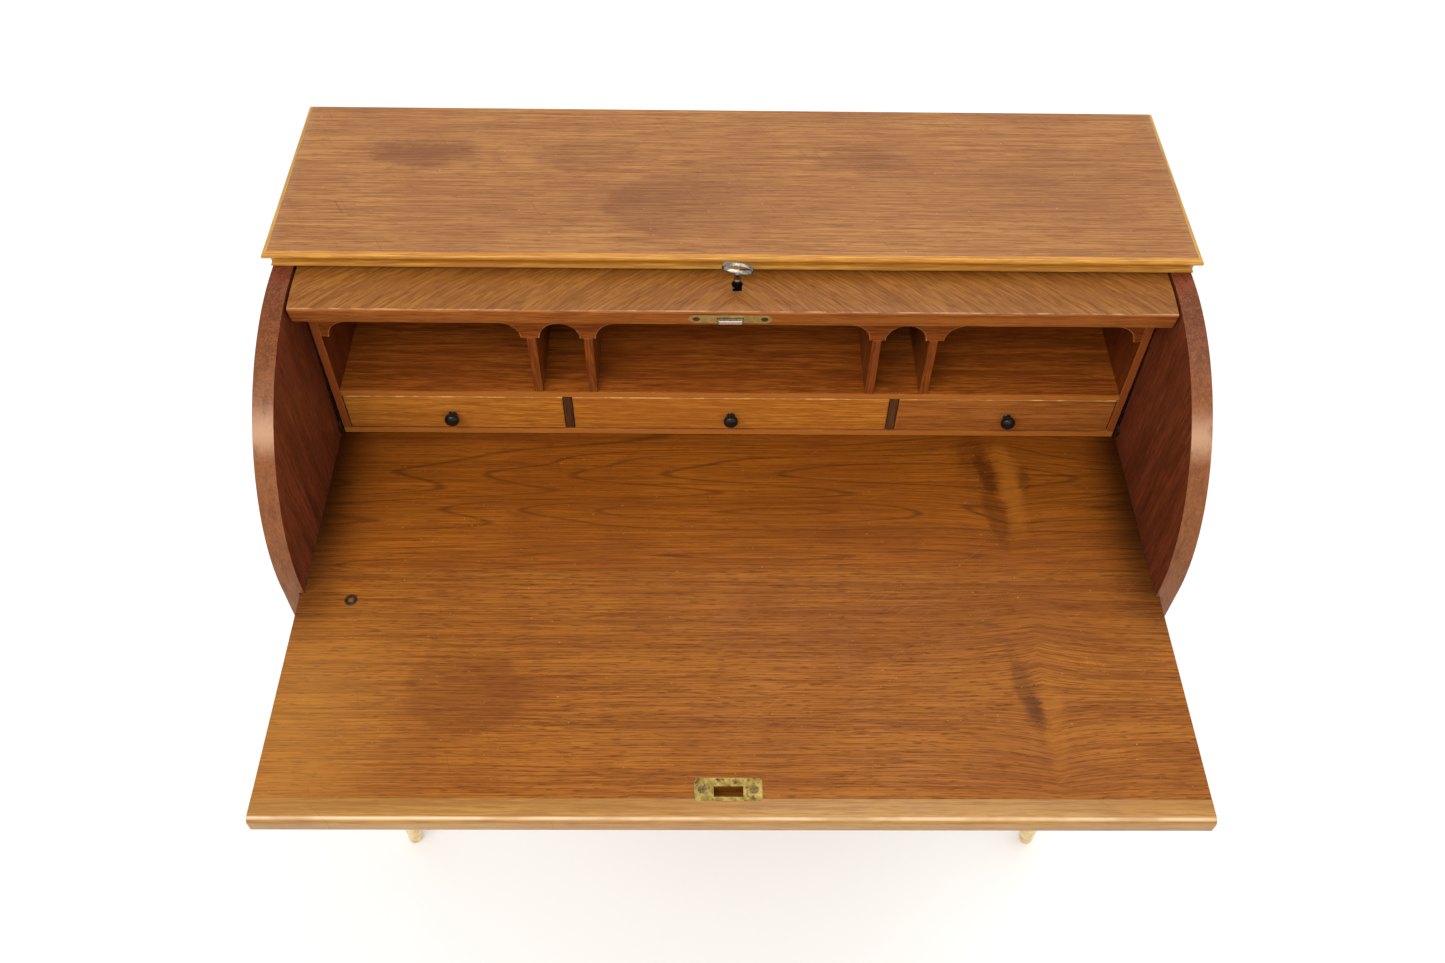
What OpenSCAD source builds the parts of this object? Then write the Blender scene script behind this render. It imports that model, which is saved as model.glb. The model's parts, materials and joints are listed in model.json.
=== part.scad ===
// Roll top writing desk: a case with quarter-round sides, a rigid curved lid that turns about
// two side pins, a pull-out writing board, a pigeonhole unit with three drawers and splayed legs.
// Inside desk_space() Y runs back from a line just behind the nosing, and Z up from the writing surface.

/* [Case] */
// Width over the two side panels
case_w = 900; // [880:2:920]
// Depth from the front of the side panels to their back edges
case_d = 462; // [458:1:470]
// Height of the writing surface above the floor
writing_h = 730; // [700:5:760]
// How far the case reaches below the writing surface
skirt_h = 95; // [85:1:110]
// Thickness of each side panel
panel_t = 20; // [18:1:22]
// Thickness of the bottom panel
bottom_t = 16; // [13:1:18]
// Thickness of the back panel
back_t = 8; // [6:1:9]
// Thickness of the rail under the writing board
rail_t = 20; // [16:1:22]

/* [Top] */
// Thickness of the top board
top_t = 18.5; // [17:0.5:20]
// How far the top's front edge stands behind the front of the case
top_setback = 225.5; // [222:0.5:228]
// How far the top overhangs each side panel
top_overhang = 6.5; // [5:0.5:8]
// Width of the solid edge moulding
moulding_w = 10.5; // [9.5:0.5:12]
// Thickness of the rounded lip of the moulding
lip_t = 6.5; // [5:0.5:7]
// How far the lip stands out from the foot of the moulding
lip_reach = 5; // [4.5:0.5:6]
// Radius of the cove under the lip
cove_r = 8; // [7.5:0.5:9]
// Depth of the cove
cove_depth = 1.5; // [1:0.1:2]

/* [Writing board] */
// How far the board stands out of the case when it is pulled out
board_out = 216; // [200:1:216]
// How far the board slides in
board_travel = 224; // [210:1:224]
// Thickness of the writing board and its nosing
board_t = 20; // [18:1:22]
// How far the writing board reaches behind the origin line
board_d = 440; // [438:1:442]
// How far the nosing reaches in front of the origin line
nosing_d = 24.2; // [22:0.2:26]
// Width of the nosing from its front to its joint with the board
nosing_w = 22; // [20:0.5:23]
// Radius of the nosing's upper front edge
nosing_round_r = 6; // [4:0.5:8]
// Depth of the groove in each side panel that guides the board
groove_d = 5; // [4:0.5:7]
// Clearance around the sliding board
board_gap = 0.3; // [0.3:0.1:0.4]

/* [Roll lid] */
// Outer radius of the side panels' curved front edges
roll_r = 216.4; // [216:0.2:218]
// Height of the lid's axis above the writing surface
pivot_rise = 12.4; // [12.2:0.1:12.8]
// Thickness of the lid
lid_t = 20; // [18:0.5:20]
// Angle of the lid's leading edge when open, from straight back
open_angle = 101; // [99:1:102]
// Angle that the lid spans about its axis
lid_span = 97; // [96:1:98]
// Clearance between the lid and the underside of the top
lid_gap = 1.4; // [1:0.2:2]
// Clearance between each end of the lid and the side panel
lid_side_gap = 2.8; // [2.6:0.1:3]
// Gap left between the closed lid and the writing surface
closed_gap = 4.9; // [4.9:0.1:6]
// Angle spanned by the solid lipping along the leading edge
lipping_angle = 2.5; // [2:0.1:3]
// Radius of the lipping's worn outer edge
arris_r = 2.4; // [1:0.1:3]
// Thickness of the steel arms at the ends of the lid
arm_t = 2; // [1.5:0.1:2]
// Width of the arms' spokes
arm_w = 24; // [18:1:26]
// Radius of the pins that the arms turn on
pin_r = 4; // [3:0.5:5]

/* [Pigeonhole unit] */
// How far the unit's front stands behind the front of the case
unit_setback = 212; // [210:1:214]
// Half of the unit's width
unit_half_w = 426.5; // [426:0.1:426.6]
// Height of the unit above the writing surface
unit_h = 186; // [182:1:187]
// Radius of the unit's curved back about the lid's axis
unit_r = 190; // [188:1:191]
// Thickness of the unit's sides
unit_side_t = 8.5; // [7:0.5:9]
// Thickness of the unit's base
unit_base_t = 8.2; // [7:0.1:8.6]
// Thickness of the shelf above the drawers
shelf_t = 8; // [6:1:9]
// Height of the drawer openings
drawer_h = 52; // [48:1:54]
// Thickness of the partitions
partition_t = 9; // [7:1:10]
// Distance from the middle to each inner partition
inner_partition_x = 147.5; // [140:0.5:150]
// Distance from the middle to each outer partition
outer_partition_x = 205.5; // [204:0.5:210]
// Distance from the middle to each partition between the drawers
drawer_partition_x = 176.5; // [170:0.5:180]
// Height of the arches above the writing surface
arch_top_z = 171; // [168:1:172]
// Height of the feet of the arched board above the writing surface
arch_foot_z = 150; // [148:1:152]
// Thickness of the arched board
valance_t = 8; // [6:1:9]

/* [Drawers] */
// Depth of each drawer
drawer_d = 170; // [150:1:172]
// Clearance around each drawer front
drawer_gap = 0.8; // [0.5:0.1:1]
// Thickness of the drawer fronts
drawer_front_t = 12; // [10:1:14]
// Thickness of the drawer sides and back
drawer_wall_t = 6; // [5:1:8]
// Thickness of the drawer bottoms
drawer_floor_t = 3; // [2.5:0.5:4]
// Distance from the middle to each outer knob
outer_knob_x = 303; // [280:1:320]
// Radius of the knobs
knob_r = 8; // [7:0.5:9]
// How far the knobs are fixed below the middle of the drawer fronts
knob_drop = 3; // [0:0.5:4]

/* [Lock and fittings] */
// Sideways place of the lock's middle
lock_x = -4; // [-6:0.5:-4]
// Sideways place of the key
key_x = 2.5; // [1:0.5:3]
// Distance from the lid's leading face back to the key's axis
backset = 36; // [34:0.5:36]
// How far the bolt stands proud when it is drawn back
bolt_proud = 4.5; // [3.5:0.1:4.5]
// How far a quarter turn of the key throws the bolt
bolt_throw = 5.5; // [4:0.1:5.5]
// Turn of the key's bow about its shaft
bow_turn = -10; // [-15:1:15]
// Length of the lock's face plate
face_plate_w = 81; // [76:1:84]
// Width of the lock's face plate
face_plate_h = 12.7; // [11:0.1:13]
// Length of the strike plate
strike_w = 62; // [58:1:64]
// Depth of the strike plate from front to back
strike_d = 22.4; // [20:0.2:24]
// Thickness of the face and strike plates
plate_t = 1.6; // [1:0.1:2]
// Sideways place of the eyelet in the board
eyelet_x = -381.6; // [-390:0.1:-370]
// Distance of the eyelet behind the nosing
eyelet_y = 208.3; // [195:0.1:212]
// Radius of the wood core in the eyelet
eyelet_hole_r = 2.6; // [2:0.1:4]

/* [Legs] */
// Half of the distance between the tips of a pair of legs
foot_x = 454; // [430:1:456]
// Distance of the tips of the front legs behind the front of the case
foot_setback = 45; // [30:1:60]
// Half of the distance between the tops of a pair of legs
leg_top_x = 396; // [380:1:398]
// Distance of the tops of the front legs behind the front of the case
leg_top_setback = 84; // [75:1:100]
// Radius of a leg at its top
leg_top_r = 21; // [18:0.5:22]
// Radius of a leg's ferrule just above its rounded tip
foot_r = 9.5; // [8:0.5:11]
// Radius of a leg's ferrule at its top
ferrule_top_r = 15; // [13:0.5:16]
// Length of the brass ferrules
ferrule_l = 55; // [45:1:70]

/* [Hidden] */

$fn = 96;
round_fn = 240;           // facets of the large arcs about the lid's axis
tiny = 0.01;              // overlap that keeps a cut open at a face

case_half_w = case_w / 2;
inner_half_w = case_half_w - panel_t;
case_front = board_out;
case_back = case_front + case_d;
pivot_y = case_front + roll_r;
top_under = pivot_rise + roll_r;
top_front = case_front + top_setback;
top_half_w = case_half_w + top_overhang;
back_inset = 2.5;         // how far the back panel lies inside the case's back edges
rebate_w = 6;             // width of the rebate that holds the back panel
back_front = case_back - back_inset - back_t;
board_half_w = inner_half_w + groove_d - 1;
board_front = nosing_w - nosing_d;

lid_r = roll_r - lid_gap;
lid_in_r = lid_r - lid_t;
lid_half_w = inner_half_w - lid_side_gap;
lid_rear_angle = open_angle - lid_span;
lipping_rear_angle = open_angle - lipping_angle;
arm_reach = lid_r - 2;
hub_r = pivot_rise - 0.9;
front_spoke_angle = open_angle - 15;
rear_spoke_angle = lid_rear_angle + 16;

unit_front = case_front + unit_setback;
unit_in_r = unit_r - 4;
base_under = 0.8;
base_top = base_under + unit_base_t;
shelf_under = base_top + drawer_h;
shelf_top = shelf_under + shelf_t;
unit_inner_half_w = unit_half_w - unit_side_t;
valance_back = unit_front + valance_t;
drawer_rear = unit_front + drawer_d;
tongue_front = pivot_y + 42;
tongue_half_w = inner_half_w + groove_d;
tongue_under = 3;

lock_r = lid_r - 11.2;    // distance of the lock's middle plane from the lid's axis
lock_case_d = 46;
strike_x = lock_x - 1;
strike_y = 6.8;
closed_edge_angle = 180 + asin((pivot_rise - closed_gap) / lid_r);
strike_slot_y = pivot_y + lock_r * cos(closed_edge_angle) - board_travel;

leg_top_z = -skirt_h - 3;
leg_middle_y = case_front + case_d / 2;

// Moves shapes drawn from the nosing's joint line and the writing surface to the floor frame
module desk_space() {
  translate([0, -(case_back - nosing_d) / 2, writing_h]) children();
}

// Turns shapes so that X and Y of a drawing become Y and Z, and its Z becomes X
module along_x() {
  rotate([90, 0, 90]) children();
}

// Repeats shapes on the right and mirrored on the left
module both_sides() {
  children();
  mirror([1, 0, 0]) children();
}

// On the left side shapes are mirrored, on the right side they stay
module on_side(side) {
  mirror([side < 0 ? 1 : 0, 0, 0]) children();
}

// A block between two corners
module block(low, high) {
  translate(low) cube(high - low);
}

// A place on the lid: Y points out from the axis and Z along the turn, at the given angle
module at_lid_angle(angle) {
  translate([0, pivot_y, pivot_rise]) rotate([angle, 0, 0]) children();
}

// A curved sheet about the lid's axis
module curved_sheet(r_in, r_out, angle_from, angle_to, half_w) {
  translate([0, pivot_y, pivot_rise])
    along_x()
      rotate([0, 0, angle_from])
        rotate_extrude(angle = angle_to - angle_from, $fn = round_fn)
          translate([r_in, -half_w]) square([r_out - r_in, 2 * half_w]);
}

// A countersunk wood screw that points down, with its head's face at the origin
module countersunk_screw(head_r, shank_r, length, slot = true) {
  difference() {
    union() {
      translate([0, 0, -head_r + shank_r]) cylinder(r1 = shank_r, r2 = head_r, h = head_r - shank_r);
      translate([0, 0, -length]) cylinder(r = shank_r, h = length - head_r + shank_r);
    }
    if (slot) block([-head_r - 1, -0.5, -0.7], [head_r + 1, 0.5, 1]);
  }
}

// The room that a countersunk screw takes
module screw_room(head_r, shank_r, length) {
  translate([0, 0, -head_r + shank_r]) cylinder(r1 = shank_r, r2 = head_r, h = head_r - shank_r);
  translate([0, 0, -length]) cylinder(r = shank_r, h = length - head_r + shank_r + tiny);
}

// ---------- top ----------

module top_board() {
  color("peru") desk_space()
    block([-top_half_w + moulding_w, top_front + moulding_w, top_under],
          [top_half_w - moulding_w, case_back, top_under + top_t]);
}

// Section of the edge moulding, drawn outwards from the top board and up from its underside
module moulding_section() {
  foot_w = moulding_w - lip_reach;
  under_lip = top_t - lip_t;
  translate([0, under_lip]) square([moulding_w - lip_t / 2, lip_t]);
  translate([moulding_w - lip_t / 2, top_t - lip_t / 2]) circle(d = lip_t);
  difference() {
    square([foot_w, under_lip + 1]);
    translate([foot_w + cove_r - cove_depth, under_lip / 2]) circle(r = cove_r);
  }
}

// Plan of one mitred length: the middle part with a 45 degree end on each chosen side
module mitre_plan(length, left_mitre, right_mitre) {
  reach = moulding_w + 1;
  polygon([[0, 0], [length, 0], [length + (right_mitre ? reach : 0), -reach],
           [left_mitre ? -reach : 0, -reach]]);
}

// A length of moulding along X whose outer side faces -Y, from 0 to length along the top board
module moulding_length(length, left_mitre, right_mitre) {
  intersection() {
    translate([-moulding_w - 2, 0, 0])
      along_x() mirror([1, 0, 0]) linear_extrude(length + 2 * moulding_w + 4) moulding_section();
    translate([0, 0, -1]) linear_extrude(top_t + 2) mitre_plan(length, left_mitre, right_mitre);
  }
}

module top_moulding_front() {
  length = 2 * (top_half_w - moulding_w);
  color("goldenrod") desk_space()
    translate([-length / 2, top_front + moulding_w, top_under]) moulding_length(length, true, true);
}

module top_moulding_side(side) {
  length = case_back - top_front - moulding_w;
  color("goldenrod") desk_space() on_side(side)
    translate([top_half_w - moulding_w, top_front + moulding_w, top_under])
      rotate([0, 0, 90]) moulding_length(length, true, false);
}

// ---------- case ----------

// Outline of a side panel: upright at the front, a quarter round above, square at the back
module side_outline() {
  translate([case_front, -skirt_h]) square([case_d, skirt_h + pivot_rise]);
  translate([pivot_y, pivot_rise - tiny]) square([case_back - pivot_y, roll_r + tiny]);
  intersection() {
    translate([pivot_y, pivot_rise]) circle(r = roll_r, $fn = round_fn);
    translate([case_front, pivot_rise - tiny]) square([roll_r + tiny, roll_r + tiny]);
  }
}

module side_panel(side) {
  color("sienna") desk_space() on_side(side)
    difference() {
      translate([inner_half_w, 0, 0]) along_x() linear_extrude(panel_t) side_outline();
      block([inner_half_w - 1, case_front - 1, -board_t - board_gap],
            [inner_half_w + groove_d, back_front, board_gap]);
      block([inner_half_w - 1, tongue_front - 0.5, tongue_under],
            [tongue_half_w, back_front, base_top]);
      block([inner_half_w - 1, back_front, -skirt_h - 1],
            [inner_half_w + rebate_w, case_back + 1, top_under + 1]);
      translate([inner_half_w - 1, pivot_y, pivot_rise]) along_x() cylinder(r = pin_r, h = 17);
    }
}

module back_panel() {
  color("burlywood") desk_space()
    block([-inner_half_w - rebate_w, back_front, -skirt_h],
          [inner_half_w + rebate_w, back_front + back_t, top_under]);
}

module bottom_panel() {
  color("burlywood") desk_space() difference() {
    block([-inner_half_w, case_front + 2 + rail_t, -skirt_h], [inner_half_w, back_front, -skirt_h + bottom_t]);
    at_leg_plate_screws() screw_room(3.4, 1.8, 15);
  }
}

module front_rail() {
  color("sienna") desk_space()
    block([-inner_half_w, case_front + 2, -skirt_h],
          [inner_half_w, case_front + 2 + rail_t, -board_t - board_gap - 0.2]);
}

// Two blocks that the open lid's rear edge rests on
module lid_stop_blocks() {
  block_top = pivot_rise + lid_in_r * sin(lid_rear_angle) - 0.4;
  color("burlywood") desk_space() both_sides()
    block([inner_half_w - 25, pivot_y + lid_in_r - 0.5, 2],
          [inner_half_w, pivot_y + lid_in_r + 18, block_top]);
}

// Steel pins that the lid's arms turn on
module lid_pivot_pins() {
  color("silver") desk_space() both_sides()
    translate([inner_half_w - lid_side_gap - 0.4, pivot_y, pivot_rise])
      along_x() cylinder(r = pin_r, h = 16 + lid_side_gap + 0.4);
}

// ---------- writing board ----------

module strike_outline(margin = 0) {
  corner_r = 4;
  w = strike_w / 2 + margin;
  d = strike_d / 2 + margin;
  for (sx = [-1, 1]) for (sy = [-1, 1])
    translate([sx * (w - corner_r), sy * (d - corner_r)]) circle(r = corner_r);
  square([2 * (w - corner_r), 2 * d], center = true);
  square([2 * w, 2 * (d - corner_r)], center = true);
}

// The slot that takes the bolt, seen from above about the strike plate's middle
module strike_slot(margin, depth) {
  slot_w = 27.2 + 2 * margin;
  slot_d = 10.4 + 2 * margin;
  translate([0.2, strike_slot_y - strike_y, -depth / 2]) cube([slot_w, slot_d, depth], center = true);
}

// Places the strike plate's two screws
module at_strike_screws() {
  for (side = [-1, 1]) translate([strike_x + side * 23.7, strike_y, 0]) children();
}

module board_cuts() {
  translate([strike_x, strike_y, -plate_t]) linear_extrude(plate_t + 1) strike_outline();
  translate([strike_x, strike_y, 1]) strike_slot(0, 15);
  at_strike_screws() screw_room(4.2, 1.8, 14);
}

module writing_board() {
  color("peru") desk_space()
    difference() {
      block([-board_half_w, board_front, -board_t], [board_half_w, board_d, 0]);
      board_cuts();
      translate([eyelet_x, eyelet_y, -6]) difference() {
        union() {
          cylinder(r = 5, h = 7);
          translate([0, 0, 5.4]) cylinder(r = 6.5, h = 2);
        }
        translate([0, 0, -1]) cylinder(r = eyelet_hole_r, h = 9);
      }
    }
}

// Section of the nosing, drawn back from its front and up from its underside
module nosing_section() {
  low_r = 2;
  translate([nosing_round_r, board_t - nosing_round_r]) circle(r = nosing_round_r);
  translate([low_r, low_r]) circle(r = low_r);
  translate([nosing_round_r, low_r]) square([nosing_w - nosing_round_r, board_t - low_r]);
  translate([0, low_r]) square([nosing_round_r, board_t - low_r - nosing_round_r]);
  translate([low_r, 0]) square([nosing_w - low_r, low_r + tiny]);
}

// Nosing along the board's front edge, rounded above
module board_nosing() {
  color("burlywood") desk_space()
    difference() {
      translate([-board_half_w, -nosing_d, -board_t]) along_x()
        linear_extrude(2 * board_half_w) nosing_section();
      board_cuts();
    }
}

// Strip under the board that meets the front rail when the board is fully out
module board_stop_strip() {
  strip_front = case_front + 2 + rail_t + 0.4;
  color("burlywood") desk_space()
    block([-350, strip_front, -board_t - 12], [350, strip_front + 16, -board_t]);
}

module strike_plate() {
  color("darkgoldenrod") desk_space()
    difference() {
      translate([strike_x, strike_y, -plate_t]) linear_extrude(plate_t) strike_outline();
      translate([strike_x, strike_y, 1]) strike_slot(-0.2, 4);
      at_strike_screws() screw_room(4.2, 1.8, 14);
    }
}

module strike_screws() {
  color("goldenrod") desk_space() at_strike_screws() rotate([0, 0, 60]) countersunk_screw(4.2, 1.8, 14);
}

// Metal eyelet let into the board around a wood core
module board_eyelet() {
  color("dimgray") desk_space() translate([eyelet_x, eyelet_y, -6]) difference() {
    union() {
      cylinder(r = 5, h = 6);
      translate([0, 0, 5.4]) cylinder(r = 6.5, h = 0.9);
    }
    translate([0, 0, -1]) cylinder(r = eyelet_hole_r, h = 9);
  }
}

// ---------- roll lid and lock ----------

// Places the screws that hold the arms to the lid's ends, on the right side
module at_arm_screws() {
  for (spoke = [front_spoke_angle, rear_spoke_angle]) for (turn = [-2, 2])
    at_lid_angle(spoke + turn) translate([lid_half_w + arm_t, lid_r - lid_t / 2, 0])
      rotate([0, 90, 0]) children();
}

// The lock's parts are drawn about the leading face: Y out from the lid's axis, Z out of the face
module at_lock() {
  at_lid_angle(open_angle) translate([lock_x, lock_r, 0]) children();
}

// The key's axis, pointing out of the lid
module at_key() {
  at_lid_angle(open_angle) translate([key_x, lock_r, -backset]) rotate([-90, 0, 0]) children();
}

// Places the face plate's two screws
module at_face_screws() {
  at_lock() for (side = [-1, 1]) translate([side * 33, 0, 0]) children();
}

module lock_case_room() {
  at_lock() block([-30, -6.8, -plate_t - lock_case_d], [30, 4.7, -plate_t]);
}

module face_plate_outline() {
  end_r = face_plate_h / 2;
  for (side = [-1, 1]) translate([side * (face_plate_w / 2 - end_r), 0]) circle(r = end_r);
  square([face_plate_w - 2 * end_r, face_plate_h], center = true);
}

// Hole for the bolt's head in the face plate and the case
module bolt_hole() {
  at_lock() block([-12.8, -2.6, -plate_t - 3], [12.8, 2.6, 1]);
}

// Keyhole: a round hole with a wide slot towards the leading edge
module keyhole() {
  at_key() {
    translate([0, 0, -1]) cylinder(r = 5.6, h = 20);
    block([-4.6, -9.8, -1], [4.6, 0, 20]);
  }
}

module roll_lid() {
  color("chocolate") desk_space()
    difference() {
      curved_sheet(lid_in_r, lid_r, lid_rear_angle, lipping_rear_angle, lid_half_w);
      lock_case_room();
      at_lock() block([-30, -16, -plate_t - lock_case_d], [30, -6.8, -plate_t - 6]);
      keyhole();
      both_sides() at_arm_screws() screw_room(3.5, 1.6, 20);
      at_face_screws() screw_room(3.6, 1.6, 16);
    }
}

// What is taken off to round the outer edge of the leading face
module arris_room() {
  at_lid_angle(open_angle) translate([-lid_half_w - 1, lid_r - arris_r, -arris_r]) difference() {
    cube([2 * lid_half_w + 2, arris_r + 1, arris_r + 1]);
    translate([-1, 0, 0]) rotate([0, 90, 0]) cylinder(r = arris_r, h = 2 * lid_half_w + 4);
  }
}

module lid_lipping() {
  color("sienna") desk_space()
    difference() {
      curved_sheet(lid_in_r, lid_r, lipping_rear_angle, open_angle, lid_half_w);
      arris_room();
      lock_case_room();
      at_lock() translate([0, 0, -plate_t]) linear_extrude(plate_t + 1) face_plate_outline();
      at_face_screws() screw_room(3.6, 1.6, 16);
    }
}

// Flat steel arm: a hub and two spokes that reach the end of the lid
module lid_arm(side) {
  color("silver") desk_space() on_side(side)
    difference() {
      translate([lid_half_w, pivot_y, pivot_rise]) along_x() linear_extrude(arm_t) difference() {
        union() {
          circle(r = hub_r);
          for (spoke = [front_spoke_angle, rear_spoke_angle])
            rotate([0, 0, spoke]) intersection() {
              union() {
                translate([0, -8]) square([60, 16]);
                polygon([[30, -8], [lid_in_r - 20, -arm_w / 2], [arm_reach + 10, -arm_w / 2],
                         [arm_reach + 10, arm_w / 2], [lid_in_r - 20, arm_w / 2], [30, 8]]);
              }
              circle(r = arm_reach, $fn = round_fn);
            }
        }
        circle(r = pin_r + 0.05);
      }
      at_arm_screws() screw_room(3.5, 1.6, 20);
    }
}

module lid_arm_screws() {
  color("gray") desk_space() both_sides() at_arm_screws() countersunk_screw(3.5, 1.6, 20);
}

// Box of the lock, hollow for the bolt and open for the key
module lock_case() {
  color("gray") desk_space()
    difference() {
      lock_case_room();
      at_lock() block([-28.5, -3.4, -plate_t - lock_case_d + 1], [28.5, 3.4, -plate_t - 1]);
      bolt_hole();
      keyhole();
      at_face_screws() screw_room(3.6, 1.6, 16);
    }
}

module lock_face_plate() {
  color("goldenrod") desk_space()
    difference() {
      at_lock() translate([0, 0, -plate_t]) linear_extrude(plate_t) face_plate_outline();
      bolt_hole();
      at_face_screws() screw_room(3.6, 1.6, 16);
    }
}

module lock_face_screws() {
  color("goldenrod") desk_space() at_face_screws() rotate([0, 0, 25]) countersunk_screw(3.6, 1.6, 16);
}

// Outline of the bolt's head, with its corners cut at a slant
module bolt_head_outline() {
  half_w = 12.5;
  corner = 1.8;
  polygon([[-half_w, -plate_t - 12], [half_w, -plate_t - 12], [half_w, bolt_proud - corner],
           [half_w - corner, bolt_proud], [-half_w + corner, bolt_proud], [-half_w, bolt_proud - corner]]);
}

// Bolt with a window in its tail, where the key's bit turns and pushes the window's front edge
module lock_bolt() {
  window_x = key_x - lock_x;
  color("silver") desk_space()
    at_lock() difference() {
      union() {
        translate([0, 2.3, 0]) rotate([90, 0, 0]) linear_extrude(4.6) bolt_head_outline();
        block([-16, -1.5, -46], [20, 1.5, -plate_t - 11]);
      }
      block([window_x - 8.5, -3, -backset - bolt_throw - 3.5], [window_x + 8.5, 3, -backset + 3.4]);
    }
}

// Key with a hollow oval bow, a shaft and a bit
module key() {
  color("gainsboro") desk_space() at_key() {
    translate([0, 0, -3]) cylinder(r = 2.4, h = 30.5);
    translate([0, 0, 15]) cylinder(r = 3.6, h = 3);
    block([-7, -1.1, -1.4], [0, 1.1, 1.4]);
    rotate([0, 0, bow_turn]) translate([0, 2.8, 33]) rotate([90, 0, 0]) linear_extrude(5.6) difference() {
      key_oval(31, 13);
      key_oval(26.4, 8.8);
    }
  }
}

// Flattened ring with half-round ends
module key_oval(w, h) {
  for (side = [-1, 1]) translate([side * (w - h) / 2, 0]) circle(d = h);
  square([w - h, h], center = true);
}

// ---------- pigeonhole unit ----------

// Outline of the unit from the side: upright at the front, rounded at the back
module unit_outline(r, low, high, front = unit_front) {
  intersection() {
    translate([pivot_y, pivot_rise]) circle(r = r, $fn = round_fn);
    translate([front, low]) square([roll_r, high - low]);
  }
}

// A board across the unit with its rear edge on the curved back
module unit_board(low, high, half_w, front = unit_front, r = unit_in_r) {
  translate([-half_w, 0, 0]) along_x() linear_extrude(2 * half_w) unit_outline(r, low, high, front);
}

// An upright of the unit at the given place along X
module unit_upright(x, thickness, low, high, front = unit_front) {
  translate([x - thickness / 2, 0, 0]) along_x() linear_extrude(thickness)
    unit_outline(unit_in_r, low, high, front);
}

module unit_base() {
  color("peru") desk_space() {
    unit_board(base_under, base_top, unit_half_w);
    difference() {
      unit_board(tongue_under, base_top, tongue_half_w, tongue_front);
      block([-unit_half_w, 0, 0], [unit_half_w, case_back, base_top + 1]);
    }
  }
}

module unit_side(side) {
  color("peru") desk_space() on_side(side)
    unit_upright(unit_half_w - unit_side_t / 2, unit_side_t, base_top, unit_h);
}

module unit_shelf() {
  color("peru") desk_space() unit_board(shelf_under, shelf_top, unit_inner_half_w);
}

module unit_top() {
  color("peru") desk_space() unit_board(unit_h - 8, unit_h, unit_inner_half_w, valance_back);
}

module unit_back() {
  low_angle = asin((base_top - pivot_rise) / unit_in_r);
  high_angle = asin((unit_h - pivot_rise) / unit_r);
  color("burlywood") desk_space() curved_sheet(unit_in_r, unit_r, low_angle, high_angle, unit_half_w);
}

// A low arch with quarter-round shoulders between two places along X
module wide_arch(from_x, to_x) {
  shoulder_r = arch_top_z - arch_foot_z;
  translate([from_x + shoulder_r, 0]) square([to_x - from_x - 2 * shoulder_r, arch_top_z]);
  translate([from_x, 0]) square([to_x - from_x, arch_foot_z]);
  for (x = [from_x + shoulder_r, to_x - shoulder_r])
    translate([x, arch_foot_z]) circle(r = shoulder_r);
}

module arched_valance() {
  middle_edge = inner_partition_x - 8;
  outer_edge = outer_partition_x + 10.5;
  round_x = (inner_partition_x + outer_partition_x) / 2;
  color("peru") desk_space()
    translate([0, valance_back, 0]) rotate([90, 0, 0]) linear_extrude(valance_t) difference() {
      translate([-unit_inner_half_w, arch_foot_z]) square([2 * unit_inner_half_w, unit_h - arch_foot_z]);
      wide_arch(-middle_edge, middle_edge);
      for (side = [-1, 1]) {
        translate([side * round_x, arch_foot_z]) circle(r = 20.5);
        mirror([side < 0 ? 1 : 0, 0]) wide_arch(outer_edge, unit_inner_half_w - 8);
      }
    }
}

// Upright partition of the pigeonholes, notched for the arched board
module partition(x) {
  color("peru") desk_space()
    difference() {
      unit_upright(x, partition_t, shelf_top, unit_h - 8);
      block([x - partition_t, unit_front - 1, arch_foot_z], [x + partition_t, valance_back, unit_h]);
    }
}

module drawer_partition(x) {
  color("saddlebrown") desk_space() unit_upright(x, partition_t, base_top, shelf_under, unit_front + 1);
}

// ---------- drawers ----------

// Left and right limits of the drawer openings: 0 is the left drawer, 1 the middle and 2 the right
function opening_low(i) = [-unit_inner_half_w, -drawer_partition_x + partition_t / 2,
                           drawer_partition_x + partition_t / 2][i];
function opening_high(i) = -opening_low(2 - i);
function knob_place(i) = (i - 1) * outer_knob_x;

drawer_low_z = base_top + drawer_gap;
drawer_high_z = shelf_under - drawer_gap;
knob_z = (drawer_low_z + drawer_high_z) / 2 - knob_drop;

module drawer_front(i) {
  color("peru") desk_space()
    difference() {
      block([opening_low(i) + drawer_gap, unit_front + 0.5, drawer_low_z],
            [opening_high(i) - drawer_gap, unit_front + drawer_front_t, drawer_high_z]);
      translate([knob_place(i), unit_front + drawer_front_t + 1, knob_z])
        rotate([90, 0, 0]) cylinder(r = 2, h = drawer_front_t + 2);
    }
}

// Sides and back of a drawer, which stop at the back of its front
module drawer_box(i) {
  low_x = opening_low(i) + drawer_gap;
  high_x = opening_high(i) - drawer_gap;
  front = unit_front + drawer_front_t;
  wall_top = drawer_high_z - 6;
  color("burlywood") desk_space()
    difference() {
      block([low_x, front, drawer_low_z], [high_x, drawer_rear, wall_top]);
      block([low_x + drawer_wall_t, front - 1, drawer_low_z - 1],
            [high_x - drawer_wall_t, drawer_rear - drawer_wall_t, wall_top + 1]);
    }
}

module drawer_bottom(i) {
  inset = drawer_gap + drawer_wall_t;
  floor_z = drawer_low_z + 3;
  color("wheat") desk_space()
    block([opening_low(i) + inset, unit_front + drawer_front_t, floor_z],
          [opening_high(i) - inset, drawer_rear - drawer_wall_t, floor_z + drawer_floor_t]);
}

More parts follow.
